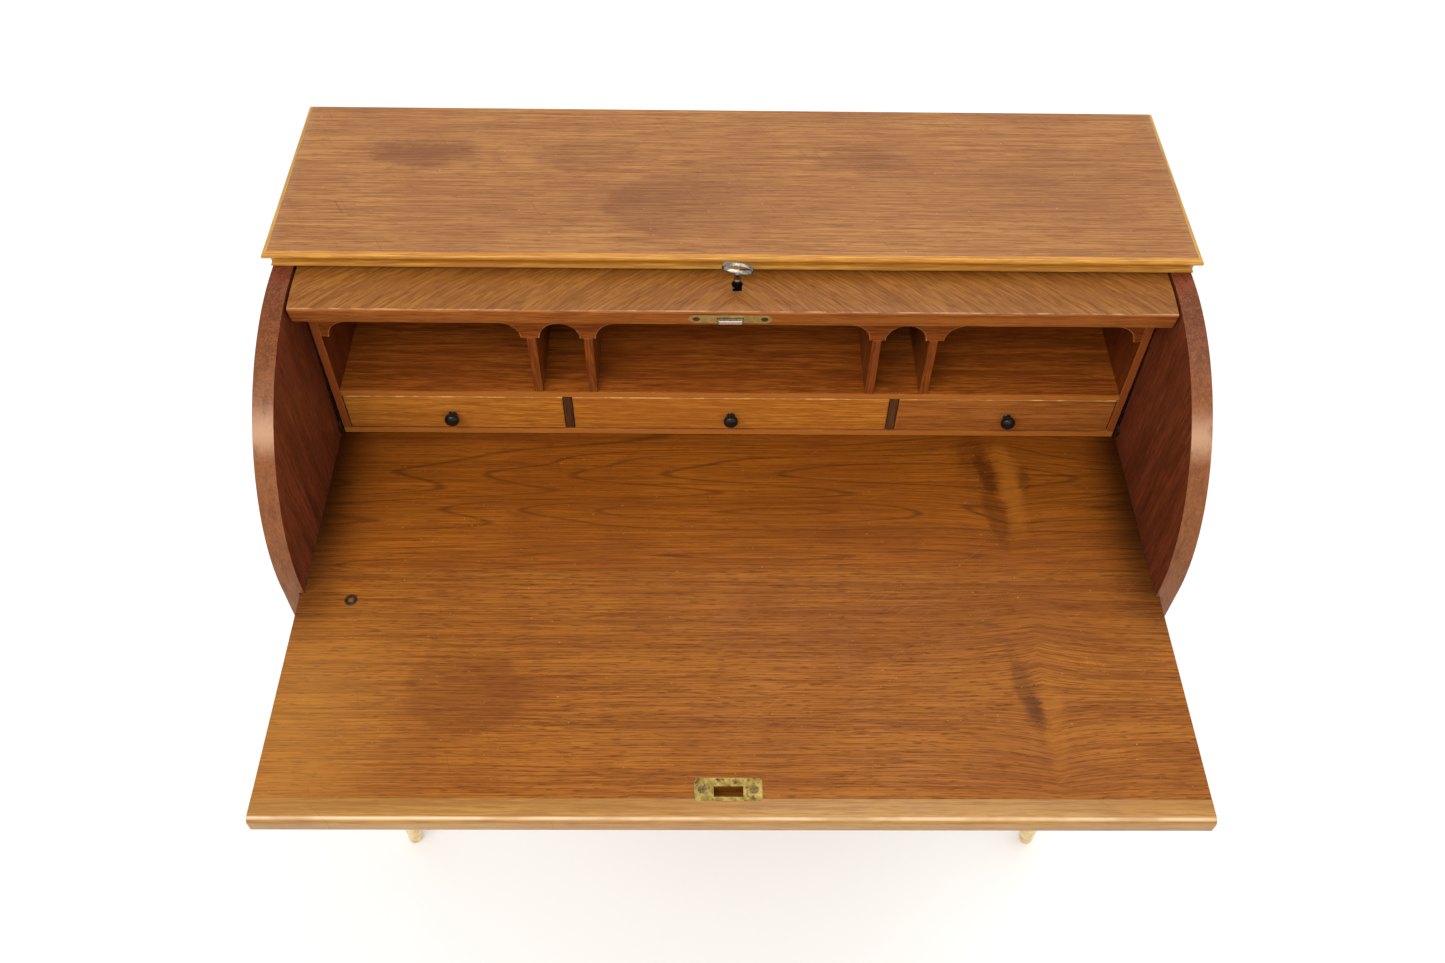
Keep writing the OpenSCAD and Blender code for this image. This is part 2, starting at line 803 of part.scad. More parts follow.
// Turned knob with a round head, a thin neck and a shank through the drawer front
module drawer_knob(i) {
  head_y = 9;
  neck_r = 3.8;
  color("black") desk_space()
    translate([knob_place(i), unit_front + 0.5, knob_z])
      rotate([90, 0, 0]) {
        translate([0, 0, -drawer_front_t]) cylinder(r = 2, h = drawer_front_t + 2);
        cylinder(r1 = neck_r + 0.8, r2 = neck_r, h = 2);
        cylinder(r = neck_r, h = head_y);
        intersection() {
          translate([0, 0, head_y]) sphere(r = knob_r);
          translate([0, 0, head_y - 5]) cylinder(r = knob_r, h = 12);
        }
      }
}

// ---------- legs ----------

leg_dx = foot_x - leg_top_x;
leg_dy = leg_top_setback - foot_setback;
leg_dz = writing_h + leg_top_z;
leg_slant = atan2(sqrt(leg_dx * leg_dx + leg_dy * leg_dy), leg_dz);
leg_l = leg_dz / cos(leg_slant);
leg_turn = 90;            // turn of each leg about its own axis
spigot_r = foot_r - 2;    // radius of the leg inside its ferrule
spigot_z = 10;            // height of the spigot's end above the floor
tip_z = -2;               // the ferrule starts below the floor and is cut off level with it

// Y of the front (end = -1) or rear (end = 1) legs, a distance in from the case's front or back
function corner_y(end, setback) = leg_middle_y + end * (case_d / 2 - setback);

// Axis of a leg, from the middle of its tip up to its top
module along_leg(side, end) {
  translate([side * foot_x, corner_y(end, foot_setback), -writing_h])
    rotate([0, leg_slant, atan2(-end * leg_dy, -side * leg_dx)]) rotate([0, 0, leg_turn]) children();
}

// Places shapes at the top of each leg
module at_leg_tops() {
  for (side = [-1, 1]) for (end = [-1, 1])
    translate([side * leg_top_x, corner_y(end, leg_top_setback), leg_top_z]) children();
}

// Everything between the floor and the leg plates
module leg_height_slab() {
  block([-case_w, 0, -writing_h], [case_w, 2 * case_back, leg_top_z]);
}

module leg(side, end) {
  color("sienna") desk_space() intersection() {
    along_leg(side, end) {
      translate([0, 0, spigot_z]) cylinder(r = spigot_r, h = ferrule_l - spigot_z);
      translate([0, 0, ferrule_l]) cylinder(r1 = ferrule_top_r - 1, r2 = leg_top_r, h = leg_l - ferrule_l + 8);
    }
    leg_height_slab();
  }
}

// Section of a ferrule: a rounded tip, a tapered wall and a socket for the leg
module ferrule_section() {
  round_r = 4;
  difference() {
    union() {
      translate([0, tip_z]) square([foot_r - round_r, round_r]);
      translate([foot_r - round_r, tip_z + round_r]) circle(r = round_r);
      polygon([[0, tip_z + round_r], [foot_r, tip_z + round_r], [ferrule_top_r, ferrule_l], [0, ferrule_l]]);
    }
    translate([-foot_r, tip_z - 1]) square([foot_r, ferrule_l]);
    translate([-1, spigot_z]) square([spigot_r + 1, ferrule_l]);
  }
}

module leg_ferrules() {
  color("gold") desk_space() intersection() {
    for (side = [-1, 1]) for (end = [-1, 1]) along_leg(side, end) rotate_extrude() ferrule_section();
    leg_height_slab();
  }
}

// Places the screws of each leg plate, pointing up into the bottom panel
module at_leg_plate_screws() {
  at_leg_tops() for (turn = [45:90:315]) rotate([0, 0, turn]) translate([27, 0, 0]) rotate([180, 0, 0]) children();
}

module leg_plates() {
  color("gray") desk_space() difference() {
    at_leg_tops() cylinder(r = 32, h = 3);
    at_leg_plate_screws() screw_room(3.4, 1.8, 15);
  }
}

module leg_plate_screws() {
  color("gray") desk_space() at_leg_plate_screws() countersunk_screw(3.4, 1.8, 15);
}

top_board();
top_moulding_front();
top_moulding_side(-1);  // top_moulding_left
top_moulding_side(1);  // top_moulding_right
side_panel(-1);  // side_panel_left
side_panel(1);  // side_panel_right
back_panel();
bottom_panel();
front_rail();
lid_stop_blocks();
lid_pivot_pins();
writing_board();
board_nosing();
board_stop_strip();
strike_plate();
strike_screws();
board_eyelet();
roll_lid();
lid_lipping();
lid_arm(-1);  // lid_arm_left
lid_arm(1);  // lid_arm_right
lid_arm_screws();
lock_case();
lock_face_plate();
lock_face_screws();
lock_bolt();
key();
unit_base();
unit_side(-1);  // unit_side_left
unit_side(1);  // unit_side_right
unit_shelf();
unit_top();
unit_back();
arched_valance();
partition(-outer_partition_x);  // partition_outer_left
partition(-inner_partition_x);  // partition_inner_left
partition(inner_partition_x);  // partition_inner_right
partition(outer_partition_x);  // partition_outer_right
drawer_partition(-drawer_partition_x);  // drawer_partition_left
drawer_partition(drawer_partition_x);  // drawer_partition_right
drawer_front(0);  // drawer_front_left
drawer_box(0);  // drawer_box_left
drawer_bottom(0);  // drawer_bottom_left
drawer_knob(0);  // drawer_knob_left
drawer_front(1);  // drawer_front_middle
drawer_box(1);  // drawer_box_middle
drawer_bottom(1);  // drawer_bottom_middle
drawer_knob(1);  // drawer_knob_middle
drawer_front(2);  // drawer_front_right
drawer_box(2);  // drawer_box_right
drawer_bottom(2);  // drawer_bottom_right
drawer_knob(2);  // drawer_knob_right
leg(-1, -1);  // leg_front_left
leg(1, -1);  // leg_front_right
leg(-1, 1);  // leg_rear_left
leg(1, 1);  // leg_rear_right
leg_ferrules();
leg_plates();
leg_plate_screws();
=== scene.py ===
"""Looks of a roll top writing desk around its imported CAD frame. Shapes are in metres in that frame.
Materials are laid out in desk millimetres: X from the middle, Y back from a line just behind the
nosing, Z up from the writing surface."""
import json
import math

import bmesh
import bpy
from mathutils import Matrix, Vector


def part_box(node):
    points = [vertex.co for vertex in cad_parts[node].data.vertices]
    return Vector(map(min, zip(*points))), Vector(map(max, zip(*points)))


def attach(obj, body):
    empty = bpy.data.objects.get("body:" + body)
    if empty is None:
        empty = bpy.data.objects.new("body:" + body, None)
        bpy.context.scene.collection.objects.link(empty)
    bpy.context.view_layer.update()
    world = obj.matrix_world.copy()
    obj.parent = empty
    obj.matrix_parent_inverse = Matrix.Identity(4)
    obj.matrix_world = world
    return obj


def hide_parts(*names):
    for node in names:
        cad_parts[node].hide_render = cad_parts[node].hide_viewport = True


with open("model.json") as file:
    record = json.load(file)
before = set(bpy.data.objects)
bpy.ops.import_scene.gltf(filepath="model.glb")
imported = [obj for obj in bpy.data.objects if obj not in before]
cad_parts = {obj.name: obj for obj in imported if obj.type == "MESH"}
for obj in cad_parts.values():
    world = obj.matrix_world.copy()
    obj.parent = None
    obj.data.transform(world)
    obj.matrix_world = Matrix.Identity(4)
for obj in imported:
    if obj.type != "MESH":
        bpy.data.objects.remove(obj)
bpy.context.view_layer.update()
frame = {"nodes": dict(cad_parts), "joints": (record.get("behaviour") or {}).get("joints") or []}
NODES = frame["nodes"]
JOINTS = {joint["name"]: joint for joint in frame["joints"]}
MM = 0.001

# The desk's origin, in metres: the nosing reaches this far in front of it.
NOSING_REACH = 0.0242
ORIGIN = Vector((0.0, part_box("board_nosing")[0].y + NOSING_REACH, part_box("writing_board")[1].z))

# Places that materials refer to, in desk millimetres.
LID_AXIS = (Vector(JOINTS["lid_roll"]["pos_m"]) - ORIGIN) / MM
UNIT_FRONT = (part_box("unit_shelf")[0].y - ORIGIN.y) / MM
DRAWER_TOP = (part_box("drawer_front_left")[1].z - ORIGIN.z) / MM
TOP_Z = (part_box("top_board")[1].z - ORIGIN.z) / MM
TOP_EDGE_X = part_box("top_moulding_front")[1].x / MM
TOP_EDGE_Y = (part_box("top_moulding_front")[0].y - ORIGIN.y) / MM
VALANCE_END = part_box("arched_valance")[1].x / MM
# Radius of the side panels' curved front edge, about the lid's axis.
ROLL_RADIUS = 216.4
# Height of the highlight painted as a pale sheen on that edge, and how far it reaches up and down.
SHEEN_Z = 169.0
SHEEN_REACH = 22.0
# How far the highlight painted along the nosing's arris lies behind its front.
ARRIS_DEPTH = 3.4
# Width of the top moulding's bare lip at the sides and at the front. Veneer covers the rest.
SIDE_LIP = 4.4
FRONT_LIP = 6.0
# Place along Y of the seam between the board's two leaves.
BOARD_SEAM = 246.2
# Middles of the two crotches in the board.
REAR_CROTCH = (293.0, 366.0)
FRONT_CROTCH = (299.0, 98.5)
# Radius at which the lid's veneer is laid out flat, the place of its joint along X, and the fibres' slant.
LID_RADIUS = 205.0
LID_JOINT_X = 1.0
LID_SLANT = math.radians(39.0)

# The way the lid's leading face looks, which is also the way the bolt is thrown.
LID_FACE = Vector(JOINTS["bolt_slide"]["axis"])
# How strongly wood reflects.
WOOD_SHINE = 0.22
# Base of the curves by which crotch figure fades out.
DECAY = 2.718

# Camera: degrees, millimetres of lens and sensor, and metres from the desk's origin.
CAMERA_PITCH = 51.825
CAMERA_YAW = -1.277
CAMERA_ROLL = -1.313
CAMERA_LENS = 31.29
CAMERA_SENSOR = 36.0
CAMERA_NEAR = 0.05
CAMERA_OFFSET = Vector((-0.0275, -0.4773, 1.0675))
# Half the side of the square floor, in metres.
FLOOR_REACH = 40.0
# Colour and strength of the surround's light.
SURROUND_COLOUR = (1.0, 0.985, 0.965, 1.0)
SURROUND_STRENGTH = 0.98

# Faces that meet at more than this angle make a sharp edge.
SHARP_ANGLE = math.radians(28.0)
# On the key, which has finer shapes, they stay hard from this angle on.
KEY_SHARP_ANGLE = math.radians(40)
# Points of a mesh that are nearer than this, in metres, are one.
WELD_DISTANCE = 1e-6
# Shortest edges that are rounded, in metres: wood, the valance's many-sided arches, and metal.
SHORTEST_WOOD = 0.0015
SHORTEST_ARC = 0.0004
SHORTEST_METAL = 0.0001

# Half outline of a knob from foot to tip, in shares of its radius and of its reach.
KNOB_OUTLINE = [(0.56, 0.0), (0.57, 0.02), (0.50, 0.07), (0.45, 0.14), (0.50, 0.21), (0.72, 0.29),
                (0.92, 0.40), (1.0, 0.54), (0.95, 0.68), (0.77, 0.79), (0.46, 0.865), (0.16, 0.892),
                (0.0, 0.895)]
# Radius of a knob's shank, of its end, and the height of the bevel between them, in metres.
SHANK_RADIUS = 0.002
SHANK_END_RADIUS = 0.0018
SHANK_BEVEL = 0.0003
# Half outline of the key's shaft, radius and height in metres.
KEY_SHAFT = [(0.0, -0.003), (0.0020, -0.003), (0.0024, -0.0026), (0.0024, 0.0140), (0.0030, 0.0142),
             (0.0036, 0.0148), (0.0036, 0.0166), (0.0031, 0.0172), (0.0028, 0.0176), (0.0027, 0.0215),
             (0.0029, 0.0240), (0.0033, 0.0258), (0.0036, 0.0270), (0.0030, 0.0276), (0.0, 0.0278)]
# The key's oval bow, in metres: half width, half height, middle, and the ring's wall and thickness.
BOW = {"half_w": 0.0154, "half_h": 0.0064, "middle_z": 0.033, "wall": 0.0017, "thick": 0.0046}
BOW_TURN = math.radians(-10.0)
# Power of the bow's outline: 1 would be an oval, and less is squarer.
BOW_FLATNESS = 0.86
# Rounding of the bow's section, in metres.
BOW_CORNER = 0.0007
# Two opposite corners of the key's bit and the rounding of its edges, in metres.
BIT_LOW = (-0.007, -0.0011, -0.0014)
BIT_HIGH = (0.0, 0.0011, 0.0014)
BIT_CORNER = 0.0002
# The part of the key below this height on its shaft, in metres, is inside the lock and dull.
KEY_IN_LOCK = 0.0135


# ---------- camera, light and floor ----------

def make_camera():
    """Camera that is turned a little, tilted well down and rolled slightly."""
    pitch = math.radians(CAMERA_PITCH)
    yaw = math.radians(CAMERA_YAW)
    roll = math.radians(CAMERA_ROLL)
    level = Vector((-math.sin(yaw), math.cos(yaw), 0.0))
    side = Vector((math.cos(yaw), math.sin(yaw), 0.0))
    up_axis = Vector((0.0, 0.0, 1.0))
    forward = level * math.cos(pitch) - up_axis * math.sin(pitch)
    above = level * math.sin(pitch) + up_axis * math.cos(pitch)
    right = side * math.cos(roll) - above * math.sin(roll)
    up = side * math.sin(roll) + above * math.cos(roll)
    camera = bpy.data.objects.new("camera", bpy.data.cameras.new("camera"))
    camera.data.lens = CAMERA_LENS
    camera.data.sensor_width = CAMERA_SENSOR
    camera.data.clip_start = CAMERA_NEAR
    turn = Matrix((right, up, -forward)).transposed()
    camera.matrix_world = Matrix.Translation(ORIGIN + CAMERA_OFFSET) @ turn.to_4x4()
    bpy.context.scene.collection.objects.link(camera)
    bpy.context.scene.camera = camera


def area_light(name, place, target, size, power, colour):
    """Rectangular light at place that looks at target. Size is its width and height in metres."""
    light = bpy.data.lights.new(name, "AREA")
    light.shape = "RECTANGLE"
    light.size, light.size_y = size
    light.energy = power
    light.color = colour
    lamp = bpy.data.objects.new(name, light)
    lamp.location = place
    lamp.rotation_euler = (Vector(target) - Vector(place)).to_track_quat("-Z", "Y").to_euler()
    bpy.context.scene.collection.objects.link(lamp)


def make_stage():
    """A pale floor, an even pale surround and two large soft lights."""
    scene = bpy.context.scene
    scene.view_settings.view_transform = "Standard"
    world = bpy.data.worlds.new("surround")
    world.use_nodes = True
    background = world.node_tree.nodes["Background"]
    background.inputs["Color"].default_value = SURROUND_COLOUR
    background.inputs["Strength"].default_value = SURROUND_STRENGTH
    scene.world = world
    area_light("soft_front", (-0.8, -1.5, 2.9), (0.0, 0.0, 0.6), (2.2, 0.8), 36.0, (1.0, 0.97, 0.93))
    area_light("soft_above", (0.7, 0.5, 3.1), (0.0, 0.0, 0.5), (2.4, 0.9), 22.0, (1.0, 0.98, 0.96))
    floor_mesh = bpy.data.meshes.new("floor")
    reach = FLOOR_REACH
    corners = [(-reach, -reach, 0), (reach, -reach, 0), (reach, reach, 0), (-reach, reach, 0)]
    floor_mesh.from_pydata(corners, [], [(0, 1, 2, 3)])
    floor = bpy.data.objects.new("floor", floor_mesh)
    scene.collection.objects.link(floor)
    floor.data.materials.append(floor_material())


# ---------- materials ----------

class Graph:
    """Node tree of one material, with short calls that add linked nodes."""

    def __init__(self, name):
        self.material = bpy.data.materials.new(name)
        self.material.use_nodes = True
        self.nodes = self.material.node_tree.nodes
        self.shader = self.nodes["Principled BSDF"]
        place = self.nodes.new("ShaderNodeTexCoord").outputs["Object"]
        shift = self.vector("SUBTRACT", place, tuple(ORIGIN))
        self.desk = self.vector("MULTIPLY", shift, (1 / MM, 1 / MM, 1 / MM))

    def put(self, socket, value):
        """Links value to socket if it is an output, and sets it there if it is a number or colour."""
        if isinstance(value, bpy.types.NodeSocket):
            self.material.node_tree.links.new(value, socket)
        else:
            socket.default_value = value

    def add(self, kind, inputs, output=0, **settings):
        """Adds a node and gives back one of its outputs."""
        node = self.nodes.new(kind)
        for key, value in settings.items():
            setattr(node, key, value)
        for key, value in inputs.items():
            self.put(node.inputs[key], value)
        return node.outputs[output]

    def math(self, operation, first, second=0.0, third=None):
        inputs = {0: first, 1: second}
        if third is not None:
            inputs[2] = third
        return self.add("ShaderNodeMath", inputs, operation=operation)

    def vector(self, operation, first, second=(0.0, 0.0, 0.0), third=(0.0, 0.0, 0.0)):
        inputs = {0: first, 1: second}
        if operation == "MULTIPLY_ADD":
            inputs[2] = third
        return self.add("ShaderNodeVectorMath", inputs, operation=operation)

    def split(self, vector):
        node = self.nodes.new("ShaderNodeSeparateXYZ")
        self.put(node.inputs[0], vector)
        return [node.outputs[0], node.outputs[1], node.outputs[2]]

    def join(self, x, y, z):
        return self.add("ShaderNodeCombineXYZ", {0: x, 1: y, 2: z})

    def span(self, value, low, high, to_low=0.0, to_high=1.0):
        """value from low..high to to_low..to_high, eased and clamped."""
        inputs = {"Value": value, "From Min": low, "From Max": high, "To Min": to_low, "To Max": to_high}
        return self.add("ShaderNodeMapRange", inputs, interpolation_type="SMOOTHSTEP")

    def mix(self, share, first, second, blend="MIX"):
        """Colour first, blended with colour second by share."""
        inputs = {0: share, 6: solid(first), 7: solid(second)}
        return self.add("ShaderNodeMix", inputs, 2, data_type="RGBA", blend_type=blend)

    def layer(self, place, sizes, detail, rough, seed, output=0):
        """Noise whose cells have the given sizes in millimetres. Output 0 is a number, 1 a colour."""
        scale = tuple(1.0 / size for size in sizes)
        offset = (seed, seed * 1.7 + 3.1, seed * 2.3 + 7.9)
        spot = self.vector("MULTIPLY_ADD", place, scale, offset)
        inputs = {"Vector": spot, "Scale": 1.0, "Detail": detail, "Roughness": rough}
        return self.add("ShaderNodeTexNoise", inputs, output)

    def cloud(self, size, detail, rough, seed):
        """Noise whose cells are as large in every direction."""
        return self.layer(self.desk, (size, size, size), detail, rough, seed)

    def blot(self, centre, size, turn, soft, ragged, seed):
        """Share, 0 to 1, of a soft oval mark: half sizes in millimetres, turned in the XY plane."""
        flat = self.vector("MULTIPLY", self.desk, (1.0, 1.0, 0.0))
        middle = (centre[0], centre[1], 0.0)
        inputs = {0: self.vector("SUBTRACT", flat, middle), "Angle": math.radians(turn)}
        turned = self.add("ShaderNodeVectorRotate", inputs, rotation_type="Z_AXIS")
        scaled = self.vector("MULTIPLY", turned, (1 / size[0], 1 / size[1], 0.0))
        distance = self.add("ShaderNodeVectorMath", {0: scaled}, 1, operation="LENGTH")
        grain_size = (size[0] + size[1]) / 3
        wobble = self.cloud(grain_size, 3.0, 0.6, seed)
        distance = self.math("ADD", distance, self.span(wobble, 0.25, 0.75, -ragged, ragged))
        return self.span(distance, 1.0 - soft, 1.0 + soft, 1.0, 0.0)

    def graded(self, colour, grade):
        """colour with its red, green and blue multiplied by grade."""
        return self.mix(1.0, colour, grade, "MULTIPLY")

    def finish(self, colour, rough, height=None, depth=0.0, bump=0.0):
        """Sets colour, roughness and, from height, relief of depth metres."""
        self.put(self.shader.inputs["Base Color"], solid(colour))
        self.put(self.shader.inputs["Roughness"], rough)
        if height is not None:
            inputs = {"Strength": bump, "Distance": depth, "Height": height}
            self.put(self.shader.inputs["Normal"], self.add("ShaderNodeBump", inputs))
        return self.material


def solid(colour):
    """colour with an alpha of 1 if it has none. An output socket stays as it is."""
    return (*colour, 1.0) if isinstance(colour, tuple) and len(colour) == 3 else colour


def shade(red, green, blue):
    """Linear colour from the 0 to 255 values seen on a screen."""
    return tuple(((c / 255 + 0.055) / 1.055) ** 2.4 for c in (red, green, blue))


def fibres(light, dark, pore):
    """The three colours of a wood from their screen values."""
    return shade(*light), shade(*dark), shade(*pore)


def turned_place(g, order):
    """Desk millimetres with the fibres' direction first: order names the axes, such as "zxy"."""
    parts = g.split(g.desk)
    return g.join(*[parts["xyz".index(axis)] for axis in order])


def lid_distances(g):
    """Distances from the lid's axis in millimetres: back, up and radius."""
    y, z = g.split(g.desk)[1:]
    back = g.math("SUBTRACT", y, LID_AXIS.y)
    rise = g.math("SUBTRACT", z, LID_AXIS.z)
    squares = g.math("ADD", g.math("MULTIPLY", back, back), g.math("MULTIPLY", rise, rise))
    return back, rise, g.math("SQRT", squares)


def lead_distance(g):
    """Millimetres in front of the lid's leading face, whose plane holds the lid's axis."""
    y, z = g.split(g.desk)[1:]
    back = g.math("SUBTRACT", y, LID_AXIS.y)
    rise = g.math("SUBTRACT", z, LID_AXIS.z)
    return g.math("ADD", g.math("MULTIPLY", back, LID_FACE.y), g.math("MULTIPLY", rise, LID_FACE.z))


def wander(g, place, reach=4.0, length=260.0, width=60.0):
    """place with the fibres bent sideways by up to about reach millimetres."""
    drift = g.layer(place, (length, width, width), 2.0, 0.5, 5.0, 1)
    drift = g.vector("SUBTRACT", drift, (0.5, 0.5, 0.5))
    return g.vector("MULTIPLY_ADD", drift, (0, 2 * reach, 2 * reach), place)


class Grain:
    """Layers of wood structure over a place whose first axis runs along the fibres."""

    def __init__(self, g, place, band=16.0, streak=3.0, fine=1.35, rings=14.0, stretch=1.0):
        self.band = g.layer(place, (620, band, band), 3.0, 0.55, 1.0)
        self.streak = g.layer(place, (90 * stretch, streak, streak), 3.0, 0.65, 2.0)
        self.fine = g.layer(place, (30 * stretch, fine, fine), 2.0, 0.65, 3.0)
        dashes = g.layer(place, (15, 1.25, 1.25), 1.0, 0.5, 4.0)
        self.pores = g.span(dashes, 0.57, 0.66)
        threads = g.layer(place, (70, 1.9, 1.9), 2.0, 0.5, 11.0)
        self.threads = g.span(threads, 0.57, 0.65)
        contour = g.layer(place, (900, 75, 75), 1.0, 0.4, 6.0)
        ring = g.math("PINGPONG", g.math("MULTIPLY", contour, rings), 0.5)
        self.lines = g.span(ring, 0.0, 0.11, 1.0, 0.0)

    def tone(self, g, band=0.24, streak=0.32, fine=0.44, low=0.43, high=0.57):
        """Share, 0 to 1, of the light fibres."""
        total = g.math("MULTIPLY", self.band, band)
        total = g.math("MULTIPLY_ADD", self.streak, streak, total)
        total = g.math("MULTIPLY_ADD", self.fine, fine, total)
        return g.span(total, low, high)


def wood_colour(g, grain, light, dark, pore, pore_share, line_share, tone=None, thread_share=0.3):
    """Fibres between light and dark, crossed by growth lines, dark threads and short pores."""
    colour = g.mix(grain.tone(g) if tone is None else tone, dark, light)
    colour = g.mix(g.math("MULTIPLY", grain.lines, line_share), colour, pore)
    colour = g.mix(g.math("MULTIPLY", grain.threads, thread_share), colour, pore)
    return g.mix(g.math("MULTIPLY", grain.pores, pore_share), colour, pore)


def wood_finish(g, grain, colour, rough, uneven=0.06, grade=None, coat=0.0, shine=WOOD_SHINE):
    """Satin lacquer that is uneven and open at the pores."""
    worn = g.cloud(38.0, 3.0, 0.6, 8.0)
    level = g.span(worn, 0.3, 0.7, rough - uneven, rough + uneven)
    level = g.math("MULTIPLY_ADD", grain.pores, 0.12, level)
    height = g.math("SUBTRACT", g.math("MULTIPLY", grain.fine, 0.4), grain.pores)
    g.put(g.shader.inputs["Specular IOR Level"], shine)
    g.put(g.shader.inputs["Coat Weight"], coat)
    g.put(g.shader.inputs["Coat Roughness"], 0.16)
    if grade is not None:
        colour = g.graded(colour, grade)
    return g.finish(colour, level, height, 0.0001, 0.3)


def mottled(g, colour, other, share, size=70.0):
    """colour with soft clouds of another one."""
    cloud = g.layer(g.desk, (size * 1.6, size, size), 3.0, 0.55, 9.0)
    return g.mix(g.span(cloud, 0.42, 0.66, 0.0, share), colour, other)


def flecked(g, colour, other, share, seed, size=3.0):
    """colour with sparse small specks, such as dust, chips and rubbed spots."""
    speck = g.cloud(size, 0.0, 0.5, seed)
    return g.mix(g.span(speck, 0.83, 0.86, 0.0, share), colour, other)


def scratched(g, colour, other, share, turn, seed):
    """colour with a few long fine scratches that run at an angle to X."""
    inputs = {0: g.desk, "Angle": math.radians(turn)}
    turned = g.add("ShaderNodeVectorRotate", inputs, rotation_type="Z_AXIS")
    hair = g.layer(turned, (75, 1.1, 400), 1.0, 0.4, seed)
    return g.mix(g.span(hair, 0.74, 0.77, 0.0, share), colour, other)


def wood(name, light, dark, pore, order="xyz", rough=0.42, pore_share=0.4, line_share=0.25, cloud=None,
         cloud_share=0.3, wear=None, wear_share=0.0, grade=None, front=None):
    """A solid or veneered wood with straight fibres along the first axis in order.

    cloud and wear are the colours of soft clouds and of rubbed spots, and front is that of the
    pigeonhole unit's front edges."""
    g = Graph(name)
    grain = Grain(g, wander(g, turned_place(g, order)))
    colour = wood_colour(g, grain, light, dark, pore, pore_share, line_share)
    if cloud is not None:
        colour = mottled(g, colour, cloud, cloud_share)
    if wear is not None:
        rubbed = g.cloud(16.0, 3.0, 0.65, 14.0)
        colour = g.mix(g.span(rubbed, 0.36, 0.60, 0.0, wear_share), colour, wear)
    if front is not None:
        face = g.span(g.split(g.desk)[1], UNIT_FRONT + 0.3, UNIT_FRONT + 0.8, 0.62, 0.0)
        colour = g.mix(face, colour, front)
    return wood_finish(g, grain, colour, rough, grade=grade)


def nosing_material():
    """Pale straight wood, graded lighter on its rounded front than on its top as painted light, with a
    patchy painted highlight along its rounded upper edge.
    """
    g = Graph("pale_nosing")
    grain = Grain(g, wander(g, g.desk, 3.0), band=12.0)
    light, dark, pore = fibres((204, 148, 88), (182, 124, 68), (140, 88, 44))
    colour = wood_colour(g, grain, light, dark, pore, 0.18, 0.10, thread_share=0.15)
    colour = mottled(g, colour, shade(164, 102, 52), 0.2, 90.0)
    colour = scratched(g, colour, shade(120, 74, 40), 0.5, 40.0, 37.0)
    y, z = g.split(g.desk)[1:]
    # Painted light: the rounded front is graded lighter than the top.
    lit_front_share = g.span(y, -6.0, -22.0)
    above = g.graded(colour, GRADES["pale_nosing"])
    colour = g.mix(lit_front_share, above, g.graded(colour, GRADES["nosing_front_lit"]))
    # Painted highlight: a pale, patchy line along the rounded upper edge.
    arris = g.math("ABSOLUTE", g.math("ADD", y, NOSING_REACH / MM - ARRIS_DEPTH))
    rubbed = g.layer(g.desk, (60, 30, 30), 3.0, 0.6, 18.0)
    share = g.math("MULTIPLY", g.span(arris, 0.4, 2.2, 1.0, 0.0), g.span(z, -5.0, -2.5))
    share = g.math("MULTIPLY", share, g.span(rubbed, 0.35, 0.6, 0.3, 0.6))
    return wood_finish(g, grain, g.mix(share, colour, shade(232, 204, 170)), 0.34, coat=0.2)


def side_material():
    """Dark reddish teak whose curved front edges carry a painted highlight at mid height, painted light in a
    broad band about it and towards the bottom, and dark rubbed marks.
    """
    g = Graph("teak_side")
    grain = Grain(g, wander(g, turned_place(g, "zyx"), 4.0), band=26.0, streak=4.0)
    colour = wood_colour(g, grain, shade(124, 62, 34), shade(90, 42, 22), shade(54, 24, 12), 0.35, 0.22)
    colour = mottled(g, colour, shade(96, 42, 24), 0.12, 130.0)
    colour = g.graded(colour, GRADES["teak_side"])
    z = g.split(g.desk)[2]
    back, _, radius = lid_distances(g)
    on_edge = g.span(radius, ROLL_RADIUS - 0.7, ROLL_RADIUS - 0.2)
    front = g.math("MULTIPLY", on_edge, g.span(back, 0.0, -20.0))
    slanted = Grain(g, wander(g, turned_place(g, "zyx"), 9.0, 60.0, 40.0), band=8.0)
    edge = wood_colour(g, slanted, shade(130, 76, 40), shade(100, 54, 26), shade(58, 28, 14), 0.4, 0.2)
    edge = g.graded(edge, GRADES["side_front"])
    height = g.math("ABSOLUTE", g.math("SUBTRACT", z, SHEEN_Z))
    # Painted light: the edge is lighter in a broad band about the painted highlight and towards the bottom.
    painted_broad_light = g.span(height, 10.0, SHEEN_REACH * 2.6, 0.22, 0.0)
    painted_broad_light = g.math("MAXIMUM", painted_broad_light, g.span(z, 190.0, 130.0, 0.0, 0.24))
    edge = g.mix(painted_broad_light, edge, shade(180, 122, 78))
    # Painted highlight: a pale sheen across the edge at mid height.
    edge = g.mix(g.span(height, 0.0, SHEEN_REACH, 0.52, 0.0), edge, shade(206, 166, 134))
    rubbed = g.layer(g.desk, (9, 22, 22), 3.0, 0.6, 15.0)
    edge = g.mix(g.span(rubbed, 0.54, 0.70, 0.0, 0.42), edge, shade(84, 42, 22))
    return wood_finish(g, grain, g.mix(front, colour, edge), 0.38, 0.03, shine=0.16)


